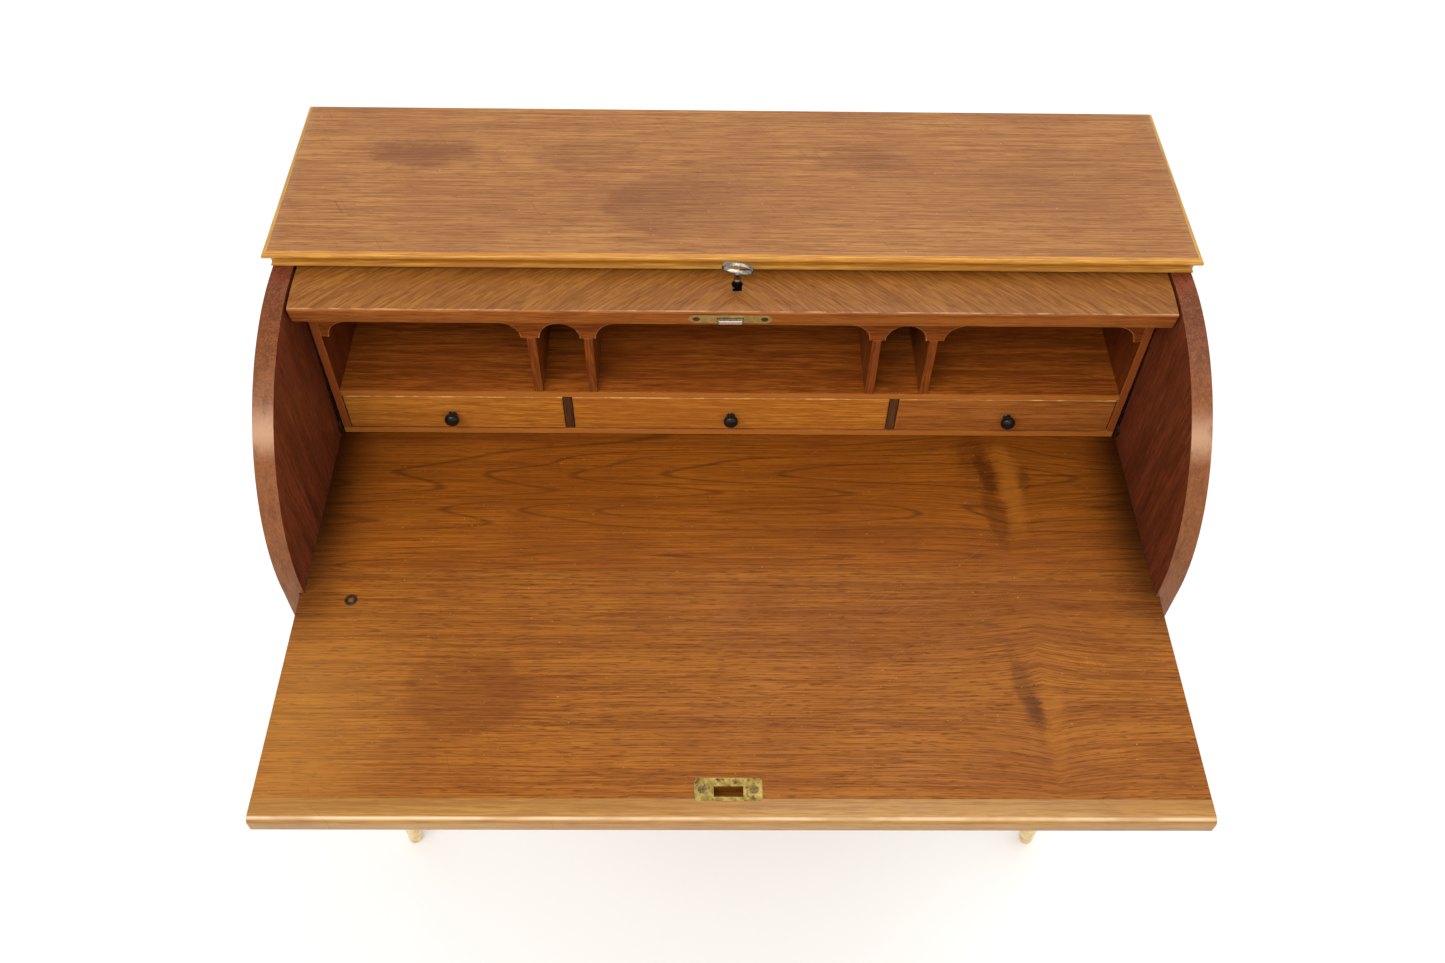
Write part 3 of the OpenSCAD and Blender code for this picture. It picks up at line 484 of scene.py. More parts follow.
def top_veneer(g):
    """Faded teak veneer with old stains, fine scratches and pale specks."""
    grain = Grain(g, wander(g, g.desk, 3.0), band=14.0, streak=1.9, fine=0.95, stretch=2.2)
    tone = grain.tone(g, 0.15, 0.40, 0.45, 0.42, 0.58)
    light, dark, pore = fibres((190, 132, 80), (152, 96, 56), (112, 62, 36))
    colour = wood_colour(g, grain, light, dark, pore, 0.42, 0.08, tone, thread_share=0.38)
    colour = mottled(g, colour, shade(142, 86, 58), 0.35, 90.0)
    stain = shade(104, 54, 36)
    stains = [((-316, 598), (56, 22), 0.44), ((-55, 545), (92, 46), 0.10), ((132, 598), (46, 20), 0.30),
              ((-20, 520), (120, 60), 0.08), ((-150, 600), (60, 26), 0.22), ((330, 560), (80, 60), 0.12)]
    for index, (centre, size, share) in enumerate(stains):
        mark = g.blot(centre, size, 0.0, 0.4, 0.35, 20.0 + index)
        colour = g.mix(g.math("MULTIPLY", mark, share), colour, stain)
    ring = g.blot((-46, 520), (86, 48), 0.0, 0.05, 0.10, 29.0)
    left_part = g.span(g.split(g.desk)[0], -95.0, 10.0, 0.24, 0.0)
    colour = g.mix(g.math("MULTIPLY", ring, left_part), colour, stain)
    colour = scratched(g, colour, shade(84, 42, 26), 0.5, 62.0, 31.0)
    colour = flecked(g, colour, shade(214, 178, 140), 0.5, 33.0)
    return g.graded(colour, GRADES["teak_top"]), grain


def top_material():
    """The top's veneer under satin lacquer."""
    g = Graph("teak_top")
    colour, grain = top_veneer(g)
    return wood_finish(g, grain, colour, 0.40)


def moulding_material(name, order):
    """Golden solid wood whose flat inner part looks veneered like the top, so only the round lip is bare."""
    g = Graph(name)
    veneer = top_veneer(g)[0]
    grain = Grain(g, wander(g, turned_place(g, order), 4.0))
    colour = wood_colour(g, grain, shade(208, 150, 74), shade(176, 114, 46), shade(128, 74, 28), 0.10, 0.15)
    colour = g.graded(mottled(g, colour, shade(176, 106, 40), 0.2), GRADES[name])
    x, y, z = g.split(g.desk)
    inner_x = TOP_EDGE_X - SIDE_LIP
    inner_y = TOP_EDGE_Y + FRONT_LIP
    covered = g.span(g.math("ABSOLUTE", x), inner_x - 0.4, inner_x, 1.0, 0.0)
    covered = g.math("MULTIPLY", covered, g.span(y, inner_y - 0.4, inner_y))
    covered = g.math("MULTIPLY", covered, g.span(z, TOP_Z - 0.5, TOP_Z - 0.2))
    return wood_finish(g, grain, g.mix(covered, colour, veneer), 0.34, coat=0.3)


def crotch_bend(g, middle, length, width):
    """How far along Y the fibres are pushed around a crotch with its middle at (X, Y)."""
    x, y = g.split(g.desk)[:2]
    dx = g.math("DIVIDE", g.math("SUBTRACT", x, middle[0]), length)
    dy = g.math("SUBTRACT", y, middle[1])
    share = g.math("DIVIDE", dy, width)
    near = g.math("POWER", DECAY, g.math("MULTIPLY", g.math("ABSOLUTE", dx), -1.3))
    fade = g.math("POWER", DECAY, g.math("MULTIPLY", g.math("MULTIPLY", share, share), -0.5))
    swell = g.math("MULTIPLY", g.math("MULTIPLY", near, fade), -0.46)
    return g.math("MULTIPLY", dy, swell)


def figured_place(g):
    """The board's fibres, which swell out around two crotches near the right end."""
    rear = crotch_bend(g, REAR_CROTCH, 62.0, 46.0)
    front = crotch_bend(g, FRONT_CROTCH, 60.0, 50.0)
    return g.vector("ADD", g.desk, g.join(0.0, g.math("ADD", rear, front), 0.0))


def board_wood(g, grain):
    """Plain colour of the board: a darker front leaf and, behind a seam, a rear leaf with bolder lines."""
    tone = grain.tone(g, 0.20, 0.37, 0.43, 0.41, 0.59)
    front_fibres = fibres((174, 108, 52), (134, 74, 32), (82, 38, 16))
    rear_fibres = fibres((172, 100, 42), (136, 74, 28), (70, 32, 10))
    front = wood_colour(g, grain, *front_fibres, 0.52, 0.14, tone)
    rear = wood_colour(g, grain, *rear_fibres, 0.3, 0.50, tone)
    behind_seam = g.span(g.split(g.desk)[1], BOARD_SEAM, BOARD_SEAM + 0.6)
    colour = g.mix(behind_seam, front, rear)
    return mottled(g, colour, shade(126, 64, 30), 0.30, 80.0)


def board_marks(g, colour):
    """colour with the dark and pale hearts of the two crotches and a round stain at the left."""
    dark = shade(70, 30, 14)
    pale = shade(188, 118, 56)
    hearts = [((279, 376), (10, 24), -14, 0.66, dark), ((264, 404), (16, 26), 10, 0.38, dark),
              ((281, 322), (10, 34), -6, 0.40, dark), ((303, 358), (11, 54), -3, 0.44, pale),
              ((318, 366), (7, 16), 8, 0.40, dark), ((282, 104), (9, 40), -10, 0.42, dark),
              ((290, 84), (7, 18), -20, 0.44, dark), ((304, 78), (10, 46), 4, 0.30, pale)]
    for index, (centre, size, turn, share, tint) in enumerate(hearts):
        mark = g.blot(centre, size, turn, 0.5, 0.3, 40.0 + index)
        colour = g.mix(g.math("MULTIPLY", mark, share), colour, tint)
    ring = g.blot((-255, 107), (57, 47), 0.0, 0.10, 0.10, 51.0)
    return g.mix(g.math("MULTIPLY", ring, 0.30), colour, shade(104, 50, 26))


def board_wear_and_light(g, colour):
    """colour with a painted reflection at the left front, scratches and pale specks, and painted shade next
    to the panels and under the unit.
    """
    x, y = g.split(g.desk)[:2]
    # Painted reflection: the left front is lightened where light is reflected.
    painted_reflection = g.math("MULTIPLY", g.span(x, -250.0, -420.0), g.span(y, 230.0, 90.0, 0.0, 0.24))
    colour = g.mix(painted_reflection, colour, shade(206, 152, 108))
    colour = scratched(g, colour, shade(96, 48, 20), 0.35, 74.0, 53.0)
    colour = scratched(g, colour, shade(196, 134, 76), 0.25, -38.0, 55.0)
    colour = flecked(g, colour, shade(212, 160, 104), 0.5, 57.0)
    # Painted shade: darker next to the side panels and under the pigeonhole unit.
    shade_by_panels = g.math("POWER", g.span(g.math("ABSOLUTE", x), 366.0, 432.0), 1.5)
    shade_by_panels = g.math("MULTIPLY", shade_by_panels, g.span(y, 180.0, 330.0, 0.5, 0.9))
    shade_by_panels = g.math("MULTIPLY", shade_by_panels, g.span(y, 150.0, 200.0))
    painted_shade = g.math("MAXIMUM", shade_by_panels, g.span(y, 395.0, 450.0, 0.0, 0.35))
    return g.mix(painted_shade, colour, shade(52, 22, 10))


def board_material():
    """Two leaves of teak veneer with crotch figure, a round stain and light scratches."""
    g = Graph("teak_board")
    place = wander(g, figured_place(g), 3.5, 300.0, 80.0)
    grain = Grain(g, place, band=20.0, streak=1.9, fine=0.95, rings=22.0, stretch=2.6)
    colour = board_wear_and_light(g, board_marks(g, board_wood(g, grain)))
    return wood_finish(g, grain, colour, 0.40, grade=GRADES["teak_board"], shine=0.11)


def lid_veneer(g):
    """Book-matched veneer: fibres slant up to the middle of the lid from both ends."""
    x = g.split(g.desk)[0]
    back, rise, radius = lid_distances(g)
    arc = g.math("MULTIPLY", g.math("ARCTAN2", rise, back), -LID_RADIUS)
    from_middle = g.math("MULTIPLY", g.math("ABSOLUTE", g.math("SUBTRACT", x, LID_JOINT_X)), -1.0)
    cos, sin = math.cos(LID_SLANT), math.sin(LID_SLANT)
    along = g.math("ADD", g.math("MULTIPLY", from_middle, cos), g.math("MULTIPLY", arc, sin))
    across = g.math("SUBTRACT", g.math("MULTIPLY", arc, cos), g.math("MULTIPLY", from_middle, sin))
    place = wander(g, g.join(along, across, radius), 5.0, 80.0, 45.0)
    grain = Grain(g, place, band=7.0, streak=2.3, fine=1.25, rings=6.0)
    light, dark, pore = fibres((178, 122, 68), (148, 94, 48), (96, 54, 26))
    colour = wood_colour(g, grain, light, dark, pore, 0.40, 0.06, thread_share=0.26)
    colour = mottled(g, colour, shade(134, 78, 36), 0.25, 60.0)
    colour = flecked(g, colour, shade(62, 30, 16), 0.6, 61.0, 2.6)
    return colour, grain


def lid_material():
    """The lid's veneer under satin lacquer."""
    g = Graph("teak_lid")
    colour, grain = lid_veneer(g)
    return wood_finish(g, grain, colour, 0.40, grade=GRADES["teak_lid"], shine=0.17)


def lipping_material():
    """Veneer outside, reddish solid wood on the leading face, and where they meet a pale line that is part
    rubbed wear and part painted highlight of the arris.
    """
    g = Graph("teak_lipping")
    veneer, grain = lid_veneer(g)
    veneer = g.graded(veneer, GRADES["teak_lid"])
    straight = Grain(g, wander(g, g.desk, 2.0), band=9.0)
    light, dark, pore = fibres((176, 106, 52), (142, 78, 36), (92, 44, 20))
    solid_wood = wood_colour(g, straight, light, dark, pore, 0.3, 0.15)
    solid_wood = g.graded(solid_wood, GRADES["teak_lipping"])
    lead = lead_distance(g)
    colour = g.mix(g.span(lead, -1.5, -0.9), veneer, solid_wood)
    # A pale line just outside the leading face: rubbed wear and a painted highlight of the arris.
    rubbed = g.layer(g.desk, (26, 9, 9), 3.0, 0.6, 17.0)
    near = g.math("MULTIPLY", g.span(lead, -2.6, -1.7), g.span(lead, -1.5, -0.7, 1.0, 0.0))
    share = g.math("MULTIPLY", near, g.span(rubbed, 0.38, 0.62, 0.05, 0.65))
    colour = g.mix(share, colour, shade(196, 152, 108))
    return wood_finish(g, grain, colour, 0.38)


def floor_material():
    """Nearly white, with very faint clouds."""
    g = Graph("floor_paper")
    cloud = g.cloud(900.0, 3.0, 0.5, 70.0)
    return g.finish(g.mix(cloud, (0.915, 0.92, 0.925), (0.93, 0.935, 0.94)), 0.85)


def lacquer_material():
    """Black lacquer with faint orange peel and dull rubbed patches."""
    g = Graph("black_lacquer")
    cloud = g.cloud(9.0, 3.0, 0.6, 80.0)
    colour = g.mix(cloud, (0.006, 0.005, 0.005), (0.014, 0.011, 0.010))
    peel = g.cloud(1.6, 2.0, 0.5, 81.0)
    g.put(g.shader.inputs["Specular IOR Level"], 0.2)
    g.put(g.shader.inputs["Coat Weight"], 0.15)
    g.put(g.shader.inputs["Coat Roughness"], 0.04)
    return g.finish(colour, g.span(cloud, 0.3, 0.7, 0.14, 0.26), peel, 0.00004, 0.25)


def pale_arris(name, axis, start, end, pale):
    """Teak arrises that turn pale from start to end, two distances from the desk's origin along axis."""
    g = Graph(name)
    grain = Grain(g, wander(g, g.desk, 2.0), band=9.0)
    colour = wood_colour(g, grain, shade(180, 112, 50), shade(150, 84, 32), shade(98, 48, 18), 0.2, 0.1)
    rubbed = g.layer(g.desk, (24, 6, 6), 3.0, 0.6, 62.0)
    along = g.math("ABSOLUTE", g.split(g.desk)[axis])
    worn = g.math("MULTIPLY", g.span(along, start, end), g.span(rubbed, 0.40, 0.52, 0.85, 0.25))
    return wood_finish(g, grain, g.mix(worn, colour, pale), 0.36)


def metal(name, clean, dull, tarnish, share, rough, size, metallic):
    """Metal with dull clouds of the given size, dark tarnish spots and fine relief."""
    g = Graph(name)
    g.put(g.shader.inputs["Metallic"], metallic)
    cloud = g.cloud(size, 3.0, 0.6, 90.0)
    colour = g.mix(g.span(cloud, 0.35, 0.65), clean, dull)
    spots = g.span(g.cloud(size * 0.5, 3.0, 0.65, 91.0), 0.54, 0.66)
    colour = g.mix(g.math("MULTIPLY", spots, share), colour, tarnish)
    level = g.span(cloud, 0.3, 0.7, rough - 0.07, rough + 0.10)
    level = g.math("MULTIPLY_ADD", spots, 0.25, level)
    return g.finish(colour, level, g.cloud(size * 0.2, 2.0, 0.5, 92.0), 0.00003, 0.3)


def bolt_material():
    """Dull nickel whose working end is worn bright."""
    g = Graph("bolt_nickel")
    g.put(g.shader.inputs["Metallic"], 0.7)
    cloud = g.cloud(5.0, 3.0, 0.6, 93.0)
    colour = g.mix(g.span(cloud, 0.35, 0.65), shade(150, 142, 122), shade(112, 104, 84))
    lead = lead_distance(g)
    colour = g.mix(g.span(lead, 3.3, 4.3, 0.0, 0.9), colour, shade(244, 240, 228))
    colour = g.mix(g.span(lead, 0.9, 0.3, 0.0, 0.8), colour, shade(44, 34, 24))
    scratches = g.layer(g.desk, (1, 1, 9), 2.0, 0.5, 95.0)
    return g.finish(colour, g.span(cloud, 0.3, 0.7, 0.24, 0.40), scratches, 0.00003, 0.3)


# Red, green and blue factors that bring each look to its final tone.
GRADES = {
    "teak_top": (0.72, 0.73, 0.60),
    "teak_board": (0.76, 0.73, 0.34),
    "teak_lid": (0.60, 0.53, 0.30),
    "teak_lipping": (0.85, 0.82, 0.62),
    "edge_moulding": (0.90, 0.90, 0.50),
    "edge_moulding_sides": (0.74, 0.86, 0.62),
    "pale_nosing": (0.56, 0.54, 0.27),
    "nosing_front_lit": (0.68, 0.71, 0.46),
    "teak_side": (0.97, 0.97, 1.05),
    "side_front": (0.84, 0.76, 0.74),
    "teak_unit": (1.25, 1.15, 0.72),
    "teak_valance": (0.9, 0.80, 0.60),
    "teak_upright": (1.0, 0.92, 0.68),
    "teak_unit_side": (0.80, 0.66, 0.52),
    "teak_drawer": (1.34, 1.50, 1.05),
    "teak_drawer_right": (0.98, 0.98, 0.95),
}


def graded_wood(name, light, dark, pore, **options):
    """Wood with its own entry in GRADES."""
    return wood(name, light, dark, pore, grade=GRADES[name], **options)


def case_woods():
    """Woods of the case, board and lid."""
    rail = fibres((124, 62, 34), (90, 42, 22), (54, 24, 12))
    plain = fibres((196, 160, 112), (168, 128, 84), (126, 88, 52))
    return {
        "teak_top": top_material(),
        "teak_board": board_material(),
        "teak_lid": lid_material(),
        "teak_lipping": lipping_material(),
        "edge_moulding": moulding_material("edge_moulding", "xyz"),
        "edge_moulding_sides": moulding_material("edge_moulding_sides", "yxz"),
        "pale_nosing": nosing_material(),
        "teak_side": side_material(),
        "teak_rail": wood("teak_rail", *rail, rough=0.38, pore_share=0.35, line_share=0.22,
                          cloud=shade(96, 42, 24), cloud_share=0.12),
        "plain_wood": wood("plain_wood", *plain, rough=0.55, pore_share=0.25, line_share=0.3,
                           cloud=shade(168, 120, 76)),
    }


def unit_woods():
    """Woods of the pigeonhole unit and the drawers' fronts."""
    teak = fibres((160, 92, 40), (120, 62, 24), (78, 36, 14))
    back = fibres((176, 102, 48), (136, 74, 34), (88, 44, 20))
    upright = fibres((148, 82, 36), (110, 56, 22), (70, 32, 12))
    side = fibres((138, 72, 34), (104, 48, 22), (66, 28, 12))
    dark = fibres((100, 62, 34), (66, 38, 20), (38, 20, 12))
    amber = fibres((180, 110, 48), (150, 84, 32), (98, 48, 18))
    look = {"rough": 0.40, "pore_share": 0.35, "line_share": 0.3}
    teak_look = {**look, "cloud": shade(120, 58, 26)}
    amber_look = {**look, "rough": 0.38, "cloud": shade(146, 78, 32)}
    return {
        "teak_unit": graded_wood("teak_unit", *teak, front=shade(176, 112, 56), **teak_look),
        "teak_valance": graded_wood("teak_valance", *teak, **teak_look),
        "teak_back": wood("teak_back", *back, rough=0.45, pore_share=0.3, line_share=0.3,
                          cloud=shade(130, 64, 34)),
        "teak_upright": graded_wood("teak_upright", *upright, order="zyx", cloud=shade(108, 50, 24), **look),
        "teak_unit_side": graded_wood("teak_unit_side", *side, order="zyx", front=shade(186, 108, 58),
                                      cloud=shade(100, 44, 24), **look),
        "teak_drawer": graded_wood("teak_drawer", *amber, **amber_look),
        "teak_drawer_right": graded_wood("teak_drawer_right", *amber, **amber_look),
        "dark_partition": wood("dark_partition", *dark, order="zyx", rough=0.46, pore_share=0.3,
                               cloud=shade(120, 80, 46)),
    }


def edge_woods():
    """Woods of rounded arrises."""
    side = fibres((168, 100, 60), (120, 62, 34), (80, 38, 20))
    teak = fibres((180, 118, 60), (140, 82, 38), (100, 52, 26))
    return {
        "pale_edge": pale_arris("pale_edge", 0, VALANCE_END - 4.0, VALANCE_END - 5.0, shade(226, 164, 88)),
        # The drawers' top arrises: a painted highlight, patchy with rubbed wear.
        "drawer_edge": pale_arris("drawer_edge", 2, DRAWER_TOP - 2.6, DRAWER_TOP - 1.8, shade(240, 190, 112)),
        "side_edge": wood("side_edge", *side, order="zyx", rough=0.36, pore_share=0.2,
                          wear=shade(104, 50, 28), wear_share=0.7),
        "teak_edge": wood("teak_edge", *teak, rough=0.42, pore_share=0.1,
                          wear=shade(128, 68, 30), wear_share=0.7),
    }


def plain_metals():
    """Metals from a table: clean, dull and tarnish colours, share of tarnish, roughness, cloud size in
    millimetres, and how metallic it is."""
    table = {
        "aged_brass": ((196, 176, 108), (168, 146, 84), (104, 78, 46), 0.5, 0.40, 7.0, 0.5),
        "strike_brass": ((140, 120, 66), (118, 98, 50), (78, 56, 30), 0.6, 0.36, 7.0, 1.0),
        "screw_brass": ((118, 98, 52), (88, 70, 36), (48, 34, 20), 0.7, 0.42, 3.0, 0.6),
        "leg_brass": ((236, 214, 160), (214, 182, 120), (150, 112, 60), 0.25, 0.16, 14.0, 1.0),
        "dark_metal": ((92, 78, 64), (58, 46, 38), (30, 22, 18), 0.6, 0.45, 3.0, 1.0),
        "nickel": ((150, 146, 140), (112, 108, 102), (70, 64, 58), 0.3, 0.12, 8.0, 1.0),
        "steel": ((176, 170, 158), (140, 132, 118), (84, 72, 58), 0.4, 0.30, 8.0, 1.0),
    }
    made = {}
    for name, (clean, dull, tarnish, *look) in table.items():
        made[name] = metal(name, shade(*clean), shade(*dull), shade(*tarnish), *look)
    return made


def make_materials():
    """Every material by its name. Names that end in _edge are for rounded arrises."""
    others = {"black_lacquer": lacquer_material(), "bolt_nickel": bolt_material()}
    return {**case_woods(), **unit_woods(), **edge_woods(), **plain_metals(), **others}


# ---------- CAD nodes: bevels and materials ----------

def edge_key(first, second):
    """The two ends of an edge, rounded to a micrometre, in an order that doesn't depend on its direction."""
    return tuple(sorted(tuple(round(value, 6) for value in point) for point in (first, second)))


def sharp_edges(mesh):
    """Lengths of the edges at which faces meet sharply, by their ends."""
    welded = bmesh.new()
    welded.from_mesh(mesh)
    bmesh.ops.remove_doubles(welded, verts=welded.verts, dist=WELD_DISTANCE)
    lengths = {}
    for edge in welded.edges:
        if len(edge.link_faces) == 2 and edge.calc_face_angle(0.0) > SHARP_ANGLE:
            lengths[edge_key(edge.verts[0].co, edge.verts[1].co)] = edge.calc_length()
    welded.free()
    return lengths


def mark_edges(mesh, width, min_edge):
    """Weights the long sharp edges for rounding and marks the other sharp ones as hard."""
    lengths = sharp_edges(mesh)
    attributes = mesh.attributes
    weight = attributes.get("bevel_weight_edge") or attributes.new("bevel_weight_edge", "FLOAT", "EDGE")
    hard = attributes.get("sharp_edge") or attributes.new("sharp_edge", "BOOLEAN", "EDGE")
    points = [vertex.co for vertex in mesh.vertices]
    for edge in mesh.edges:
        length = lengths.get(edge_key(points[edge.vertices[0]], points[edge.vertices[1]]))
        rounded = length is not None and length >= min_edge and width > 0
        weight.data[edge.index].value = 1.0 if rounded else 0.0
        hard.data[edge.index].value = length is not None and not rounded


def soften(name, material, width, edge_material, min_edge):
    """Gives a CAD node its material and, by modifiers, a rounding of width on its long sharp edges."""
    node = NODES[name]
    mesh = node.data
    mesh.materials.clear()
    mesh.materials.append(material)
    mesh.materials.append(edge_material)
    normals = mesh.attributes.get("custom_normal")
    if normals is not None:
        mesh.attributes.remove(normals)
    mesh.shade_smooth()
    mark_edges(mesh, width, min_edge)
    weld = node.modifiers.new("weld", "WELD")
    weld.merge_threshold = WELD_DISTANCE
    if width > 0:
        bevel = node.modifiers.new("arris", "BEVEL")
        bevel.limit_method = "WEIGHT"
        bevel.width = width
        bevel.segments = 2
        bevel.material = 1
    weighted = node.modifiers.new("normals", "WEIGHTED_NORMAL")
    weighted.keep_sharp = True


def wooden_nodes():
    """Name, material, rounding in metres and arris material of every wooden CAD node."""
    nodes = [
        ("top_board", "teak_top", 0.0, None),
        ("top_moulding_front", "edge_moulding", 0.0, None),
        ("back_panel", "plain_wood", 0.0005, None),
        ("bottom_panel", "plain_wood", 0.0005, None),
        ("front_rail", "teak_rail", 0.001, "teak_edge"),
        ("lid_stop_blocks", "plain_wood", 0.0006, None),
        ("writing_board", "teak_board", 0.0004, None),
        ("board_nosing", "pale_nosing", 0.0, None),
        ("board_stop_strip", "plain_wood", 0.0006, None),
        ("roll_lid", "teak_lid", 0.0, None),
        ("lid_lipping", "teak_lipping", 0.0, None),
        ("unit_base", "teak_unit", 0.0005, "teak_edge"),
        ("unit_shelf", "teak_unit", 0.0006, "teak_edge"),
        ("unit_top", "teak_unit", 0.0005, None),
        ("unit_back", "teak_back", 0.0003, None),
        ("arched_valance", "teak_valance", 0.0008, "pale_edge"),
    ]
    for side in ("left", "right"):
        nodes += [
            ("top_moulding_" + side, "edge_moulding_sides", 0.0, None),
            ("side_panel_" + side, "teak_side", 0.0012, "side_edge"),
            ("leg_front_" + side, "teak_side", 0.0, None),
            ("leg_rear_" + side, "teak_side", 0.0, None),
            ("unit_side_" + side, "teak_unit_side", 0.0006, "teak_edge"),
            ("partition_outer_" + side, "teak_upright", 0.0006, "teak_edge"),
            ("partition_inner_" + side, "teak_upright", 0.0006, "teak_edge"),
            ("drawer_partition_" + side, "dark_partition", 0.0005, None),
        ]
    for side in ("left", "middle", "right"):
        front = "teak_drawer_right" if side == "right" else "teak_drawer"
        nodes += [
            ("drawer_front_" + side, front, 0.0012, "drawer_edge"),
            ("drawer_box_" + side, "plain_wood", 0.0006, None),
            ("drawer_bottom_" + side, "plain_wood", 0.0003, None),
        ]
    return nodes


def metal_nodes():
    """Name, material and rounding in metres of every metal CAD node."""
    return [
        ("strike_plate", "strike_brass", 0.0002), ("strike_screws", "screw_brass", 0.0),
        ("board_eyelet", "dark_metal", 0.0002), ("lock_face_plate", "aged_brass", 0.0002),
        ("lock_face_screws", "screw_brass", 0.0), ("lock_bolt", "bolt_nickel", 0.0005),
        ("lock_case", "dark_metal", 0.0), ("leg_ferrules", "leg_brass", 0.0),
        ("lid_arm_left", "dark_metal", 0.0), ("lid_arm_right", "dark_metal", 0.0),
        ("lid_arm_screws", "dark_metal", 0.0), ("lid_pivot_pins", "dark_metal", 0.0),
        ("leg_plates", "steel", 0.0), ("leg_plate_screws", "steel", 0.0),
    ]


def dress_nodes(made):
    """Every CAD node's material and rounding."""
    for name, material, width, edge in wooden_nodes():
        shortest = SHORTEST_ARC if name == "arched_valance" else SHORTEST_WOOD
        soften(name, made[material], width, made[edge or material], shortest)
    for name, material, width in metal_nodes():
        soften(name, made[material], width, made[material], SHORTEST_METAL)


# ---------- pieces that replace plain CAD nodes ----------

def new_piece(name, mesh_data, material, body, replaced):
    """Adds a mesh that rides on body in place of the CAD nodes in replaced."""
    piece = bpy.data.objects.new(name, mesh_data)
    bpy.context.scene.collection.objects.link(piece)
    mesh_data.materials.append(material)
    mesh_data.shade_smooth()
    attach(piece, body)
    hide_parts(*replaced)


def smooth_profile(points):
    """Points of a Catmull-Rom curve through the given (radius, height) points."""
    made = []
    last = len(points) - 1
    steps = 6
    for i in range(last):
        p0, p1, p2, p3 = (Vector(points[min(max(k, 0), last)]) for k in (i - 1, i, i + 1, i + 2))
        for step in range(steps):
            t = step / steps
            made.append(0.5 * (2 * p1 + (p2 - p0) * t + (2 * p0 - 5 * p1 + 4 * p2 - p3) * t * t
                               + (3 * p1 - p0 - 3 * p2 + p3) * t ** 3))
    made.append(Vector(points[last]))
    return made


def finished_mesh(bm, name):
    """Mesh made from bm, with its faces turned outward."""
    bmesh.ops.recalc_face_normals(bm, faces=bm.faces)
    mesh = bpy.data.meshes.new(name)
    bm.to_mesh(mesh)
    bm.free()
    return mesh


def lathe(bm, profile, place, turns):
    """Adds a closed turned solid whose profile starts and ends on its axis, local +Z in place."""
    rings = []
    for radius, height in profile:
        if radius < 1e-7:
            rings.append([bm.verts.new(place @ Vector((0, 0, height)))])
            continue
        angles = [2 * math.pi * k / turns for k in range(turns)]
        rings.append([bm.verts.new(place @ Vector((radius * math.cos(a), radius * math.sin(a), height)))
                      for a in angles])
    for low, high in zip(rings, rings[1:]):
        for k in range(turns):
            n = (k + 1) % turns
            if len(low) == 1:
                bm.faces.new((low[0], high[n], high[k]))
            elif len(high) == 1:
                bm.faces.new((low[k], low[n], high[0]))
            else:
                bm.faces.new((low[k], low[n], high[n], high[k]))


def make_knob(side, made):
    """Turned pear-shaped knob with a flared foot and a shank through the drawer front."""
    low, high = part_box("drawer_knob_" + side)
    front_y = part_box("drawer_front_" + side)[0].y
    middle = Vector(((low.x + high.x) / 2, front_y, (low.z + high.z) / 2))
    place = Matrix.Translation(middle) @ Matrix.Rotation(math.radians(90), 4, "X")
    head = (high.x - low.x) / 2
    reach = front_y - low.y
    shank = high.y - front_y
    outline = smooth_profile([(radius * head, height * reach) for radius, height in KNOB_OUTLINE])
    profile = [(0.0, -shank), (SHANK_END_RADIUS, -shank), (SHANK_RADIUS, -shank + SHANK_BEVEL),
               (SHANK_RADIUS, 0.0)]
    bm = bmesh.new()
    lathe(bm, profile + outline, place, 64)
    mesh = finished_mesh(bm, "knob_" + side)
    new_piece("knob_" + side, mesh, made["black_lacquer"], "drawer_" + side,
              ["drawer_knob_" + side])


def key_place():
    """Frame of the key: local +Z along its shaft and out of the lid, +X along the bow."""
    joint = JOINTS["key_turn"]
    out = Vector(joint["axis"]).normalized()
    across = Vector((1.0, 0.0, 0.0))
    turn = Matrix((across, out.cross(across), out)).transposed()
    return Matrix.Translation(joint["pos_m"]) @ turn.to_4x4()


def bow_section(wall, thick):
    """Rounded rectangle: places around the bow's ring, across its wall and along its thickness."""
    steps = 4
    section = []
    for side_x, side_y, start in ((1, 1, 0), (-1, 1, 90), (-1, -1, 180), (1, -1, 270)):
        for step in range(steps + 1):
            a = math.radians(start + 90 / steps * step)
            x = side_x * (wall / 2 - BOW_CORNER) + BOW_CORNER * math.cos(a)
            y = side_y * (thick / 2 - BOW_CORNER) + BOW_CORNER * math.sin(a)
            section.append((x, y))
    return section


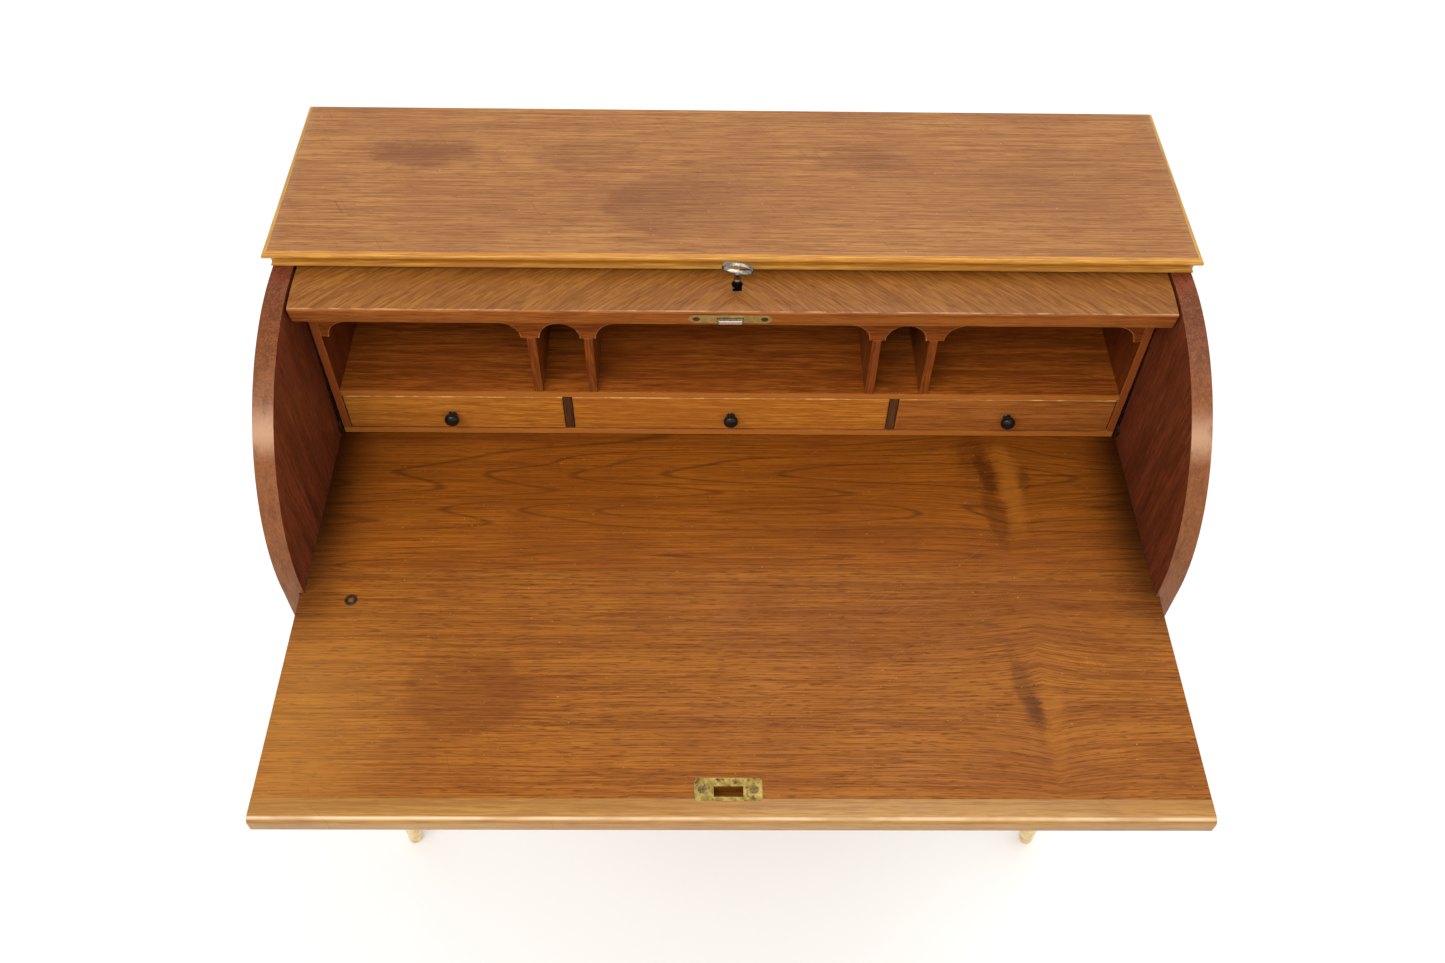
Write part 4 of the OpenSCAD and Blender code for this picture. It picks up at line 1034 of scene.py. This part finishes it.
def add_bow(bm, place, half_w, half_h, middle_z, wall, thick):
    """Oval ring with a rounded section."""
    steps = 120
    section = bow_section(wall, thick)
    across, upward = half_w - wall / 2, half_h - wall / 2
    rings = []
    for step in range(steps):
        a = 2 * math.pi * step / steps
        c, s = math.cos(a), math.sin(a)
        x = across * math.copysign(abs(c) ** BOW_FLATNESS, c)
        z = upward * math.copysign(abs(s) ** BOW_FLATNESS, s)
        normal = Vector((c / across, 0.0, s / upward)).normalized()
        rings.append([bm.verts.new(place @ (Vector((x, y, middle_z + z)) + normal * r)) for r, y in section])
    count = len(section)
    for step in range(steps):
        here, there = rings[step], rings[(step + 1) % steps]
        for k in range(count):
            n = (k + 1) % count
            bm.faces.new((here[k], here[n], there[n], there[k]))


def add_block(bm, place, low, high, corner):
    """Block with rounded edges."""
    made = bmesh.ops.create_cube(bm, size=1.0)["verts"]
    size = [b - a for a, b in zip(low, high)]
    middle = [(a + b) / 2 for a, b in zip(low, high)]
    for vertex in made:
        vertex.co = Vector([m + s * v for m, s, v in zip(middle, size, vertex.co)])
    edges = list({edge for vertex in made for edge in vertex.link_edges})
    rounded = bmesh.ops.bevel(bm, geom=edges, offset=corner, segments=2, profile=0.5, affect="EDGES")
    block = {vertex for face in rounded["faces"] for vertex in face.verts}
    for vertex in block:
        vertex.co = place @ vertex.co


def make_key(made):
    """Nickel key: hollow oval bow, stepped shaft and a small bit. What stays in the lock is dull."""
    place = key_place()
    bm = bmesh.new()
    lathe(bm, KEY_SHAFT, place, 48)
    add_bow(bm, place @ Matrix.Rotation(BOW_TURN, 4, "Z"), **BOW)
    add_block(bm, place, BIT_LOW, BIT_HIGH, BIT_CORNER)
    back = place.inverted()
    for face in bm.faces:
        face.material_index = int((back @ face.calc_center_median()).z < KEY_IN_LOCK)
    mesh = finished_mesh(bm, "key_nickel")
    new_piece("key_nickel", mesh, made["nickel"], "key", ["key"])
    mesh.materials.append(made["dark_metal"])
    mesh.set_sharp_from_angle(angle=KEY_SHARP_ANGLE)


def main():
    make_camera()
    make_stage()
    made = make_materials()
    dress_nodes(made)
    for side in ("left", "middle", "right"):
        make_knob(side, made)
    make_key(made)
    bpy.context.view_layer.update()


main()
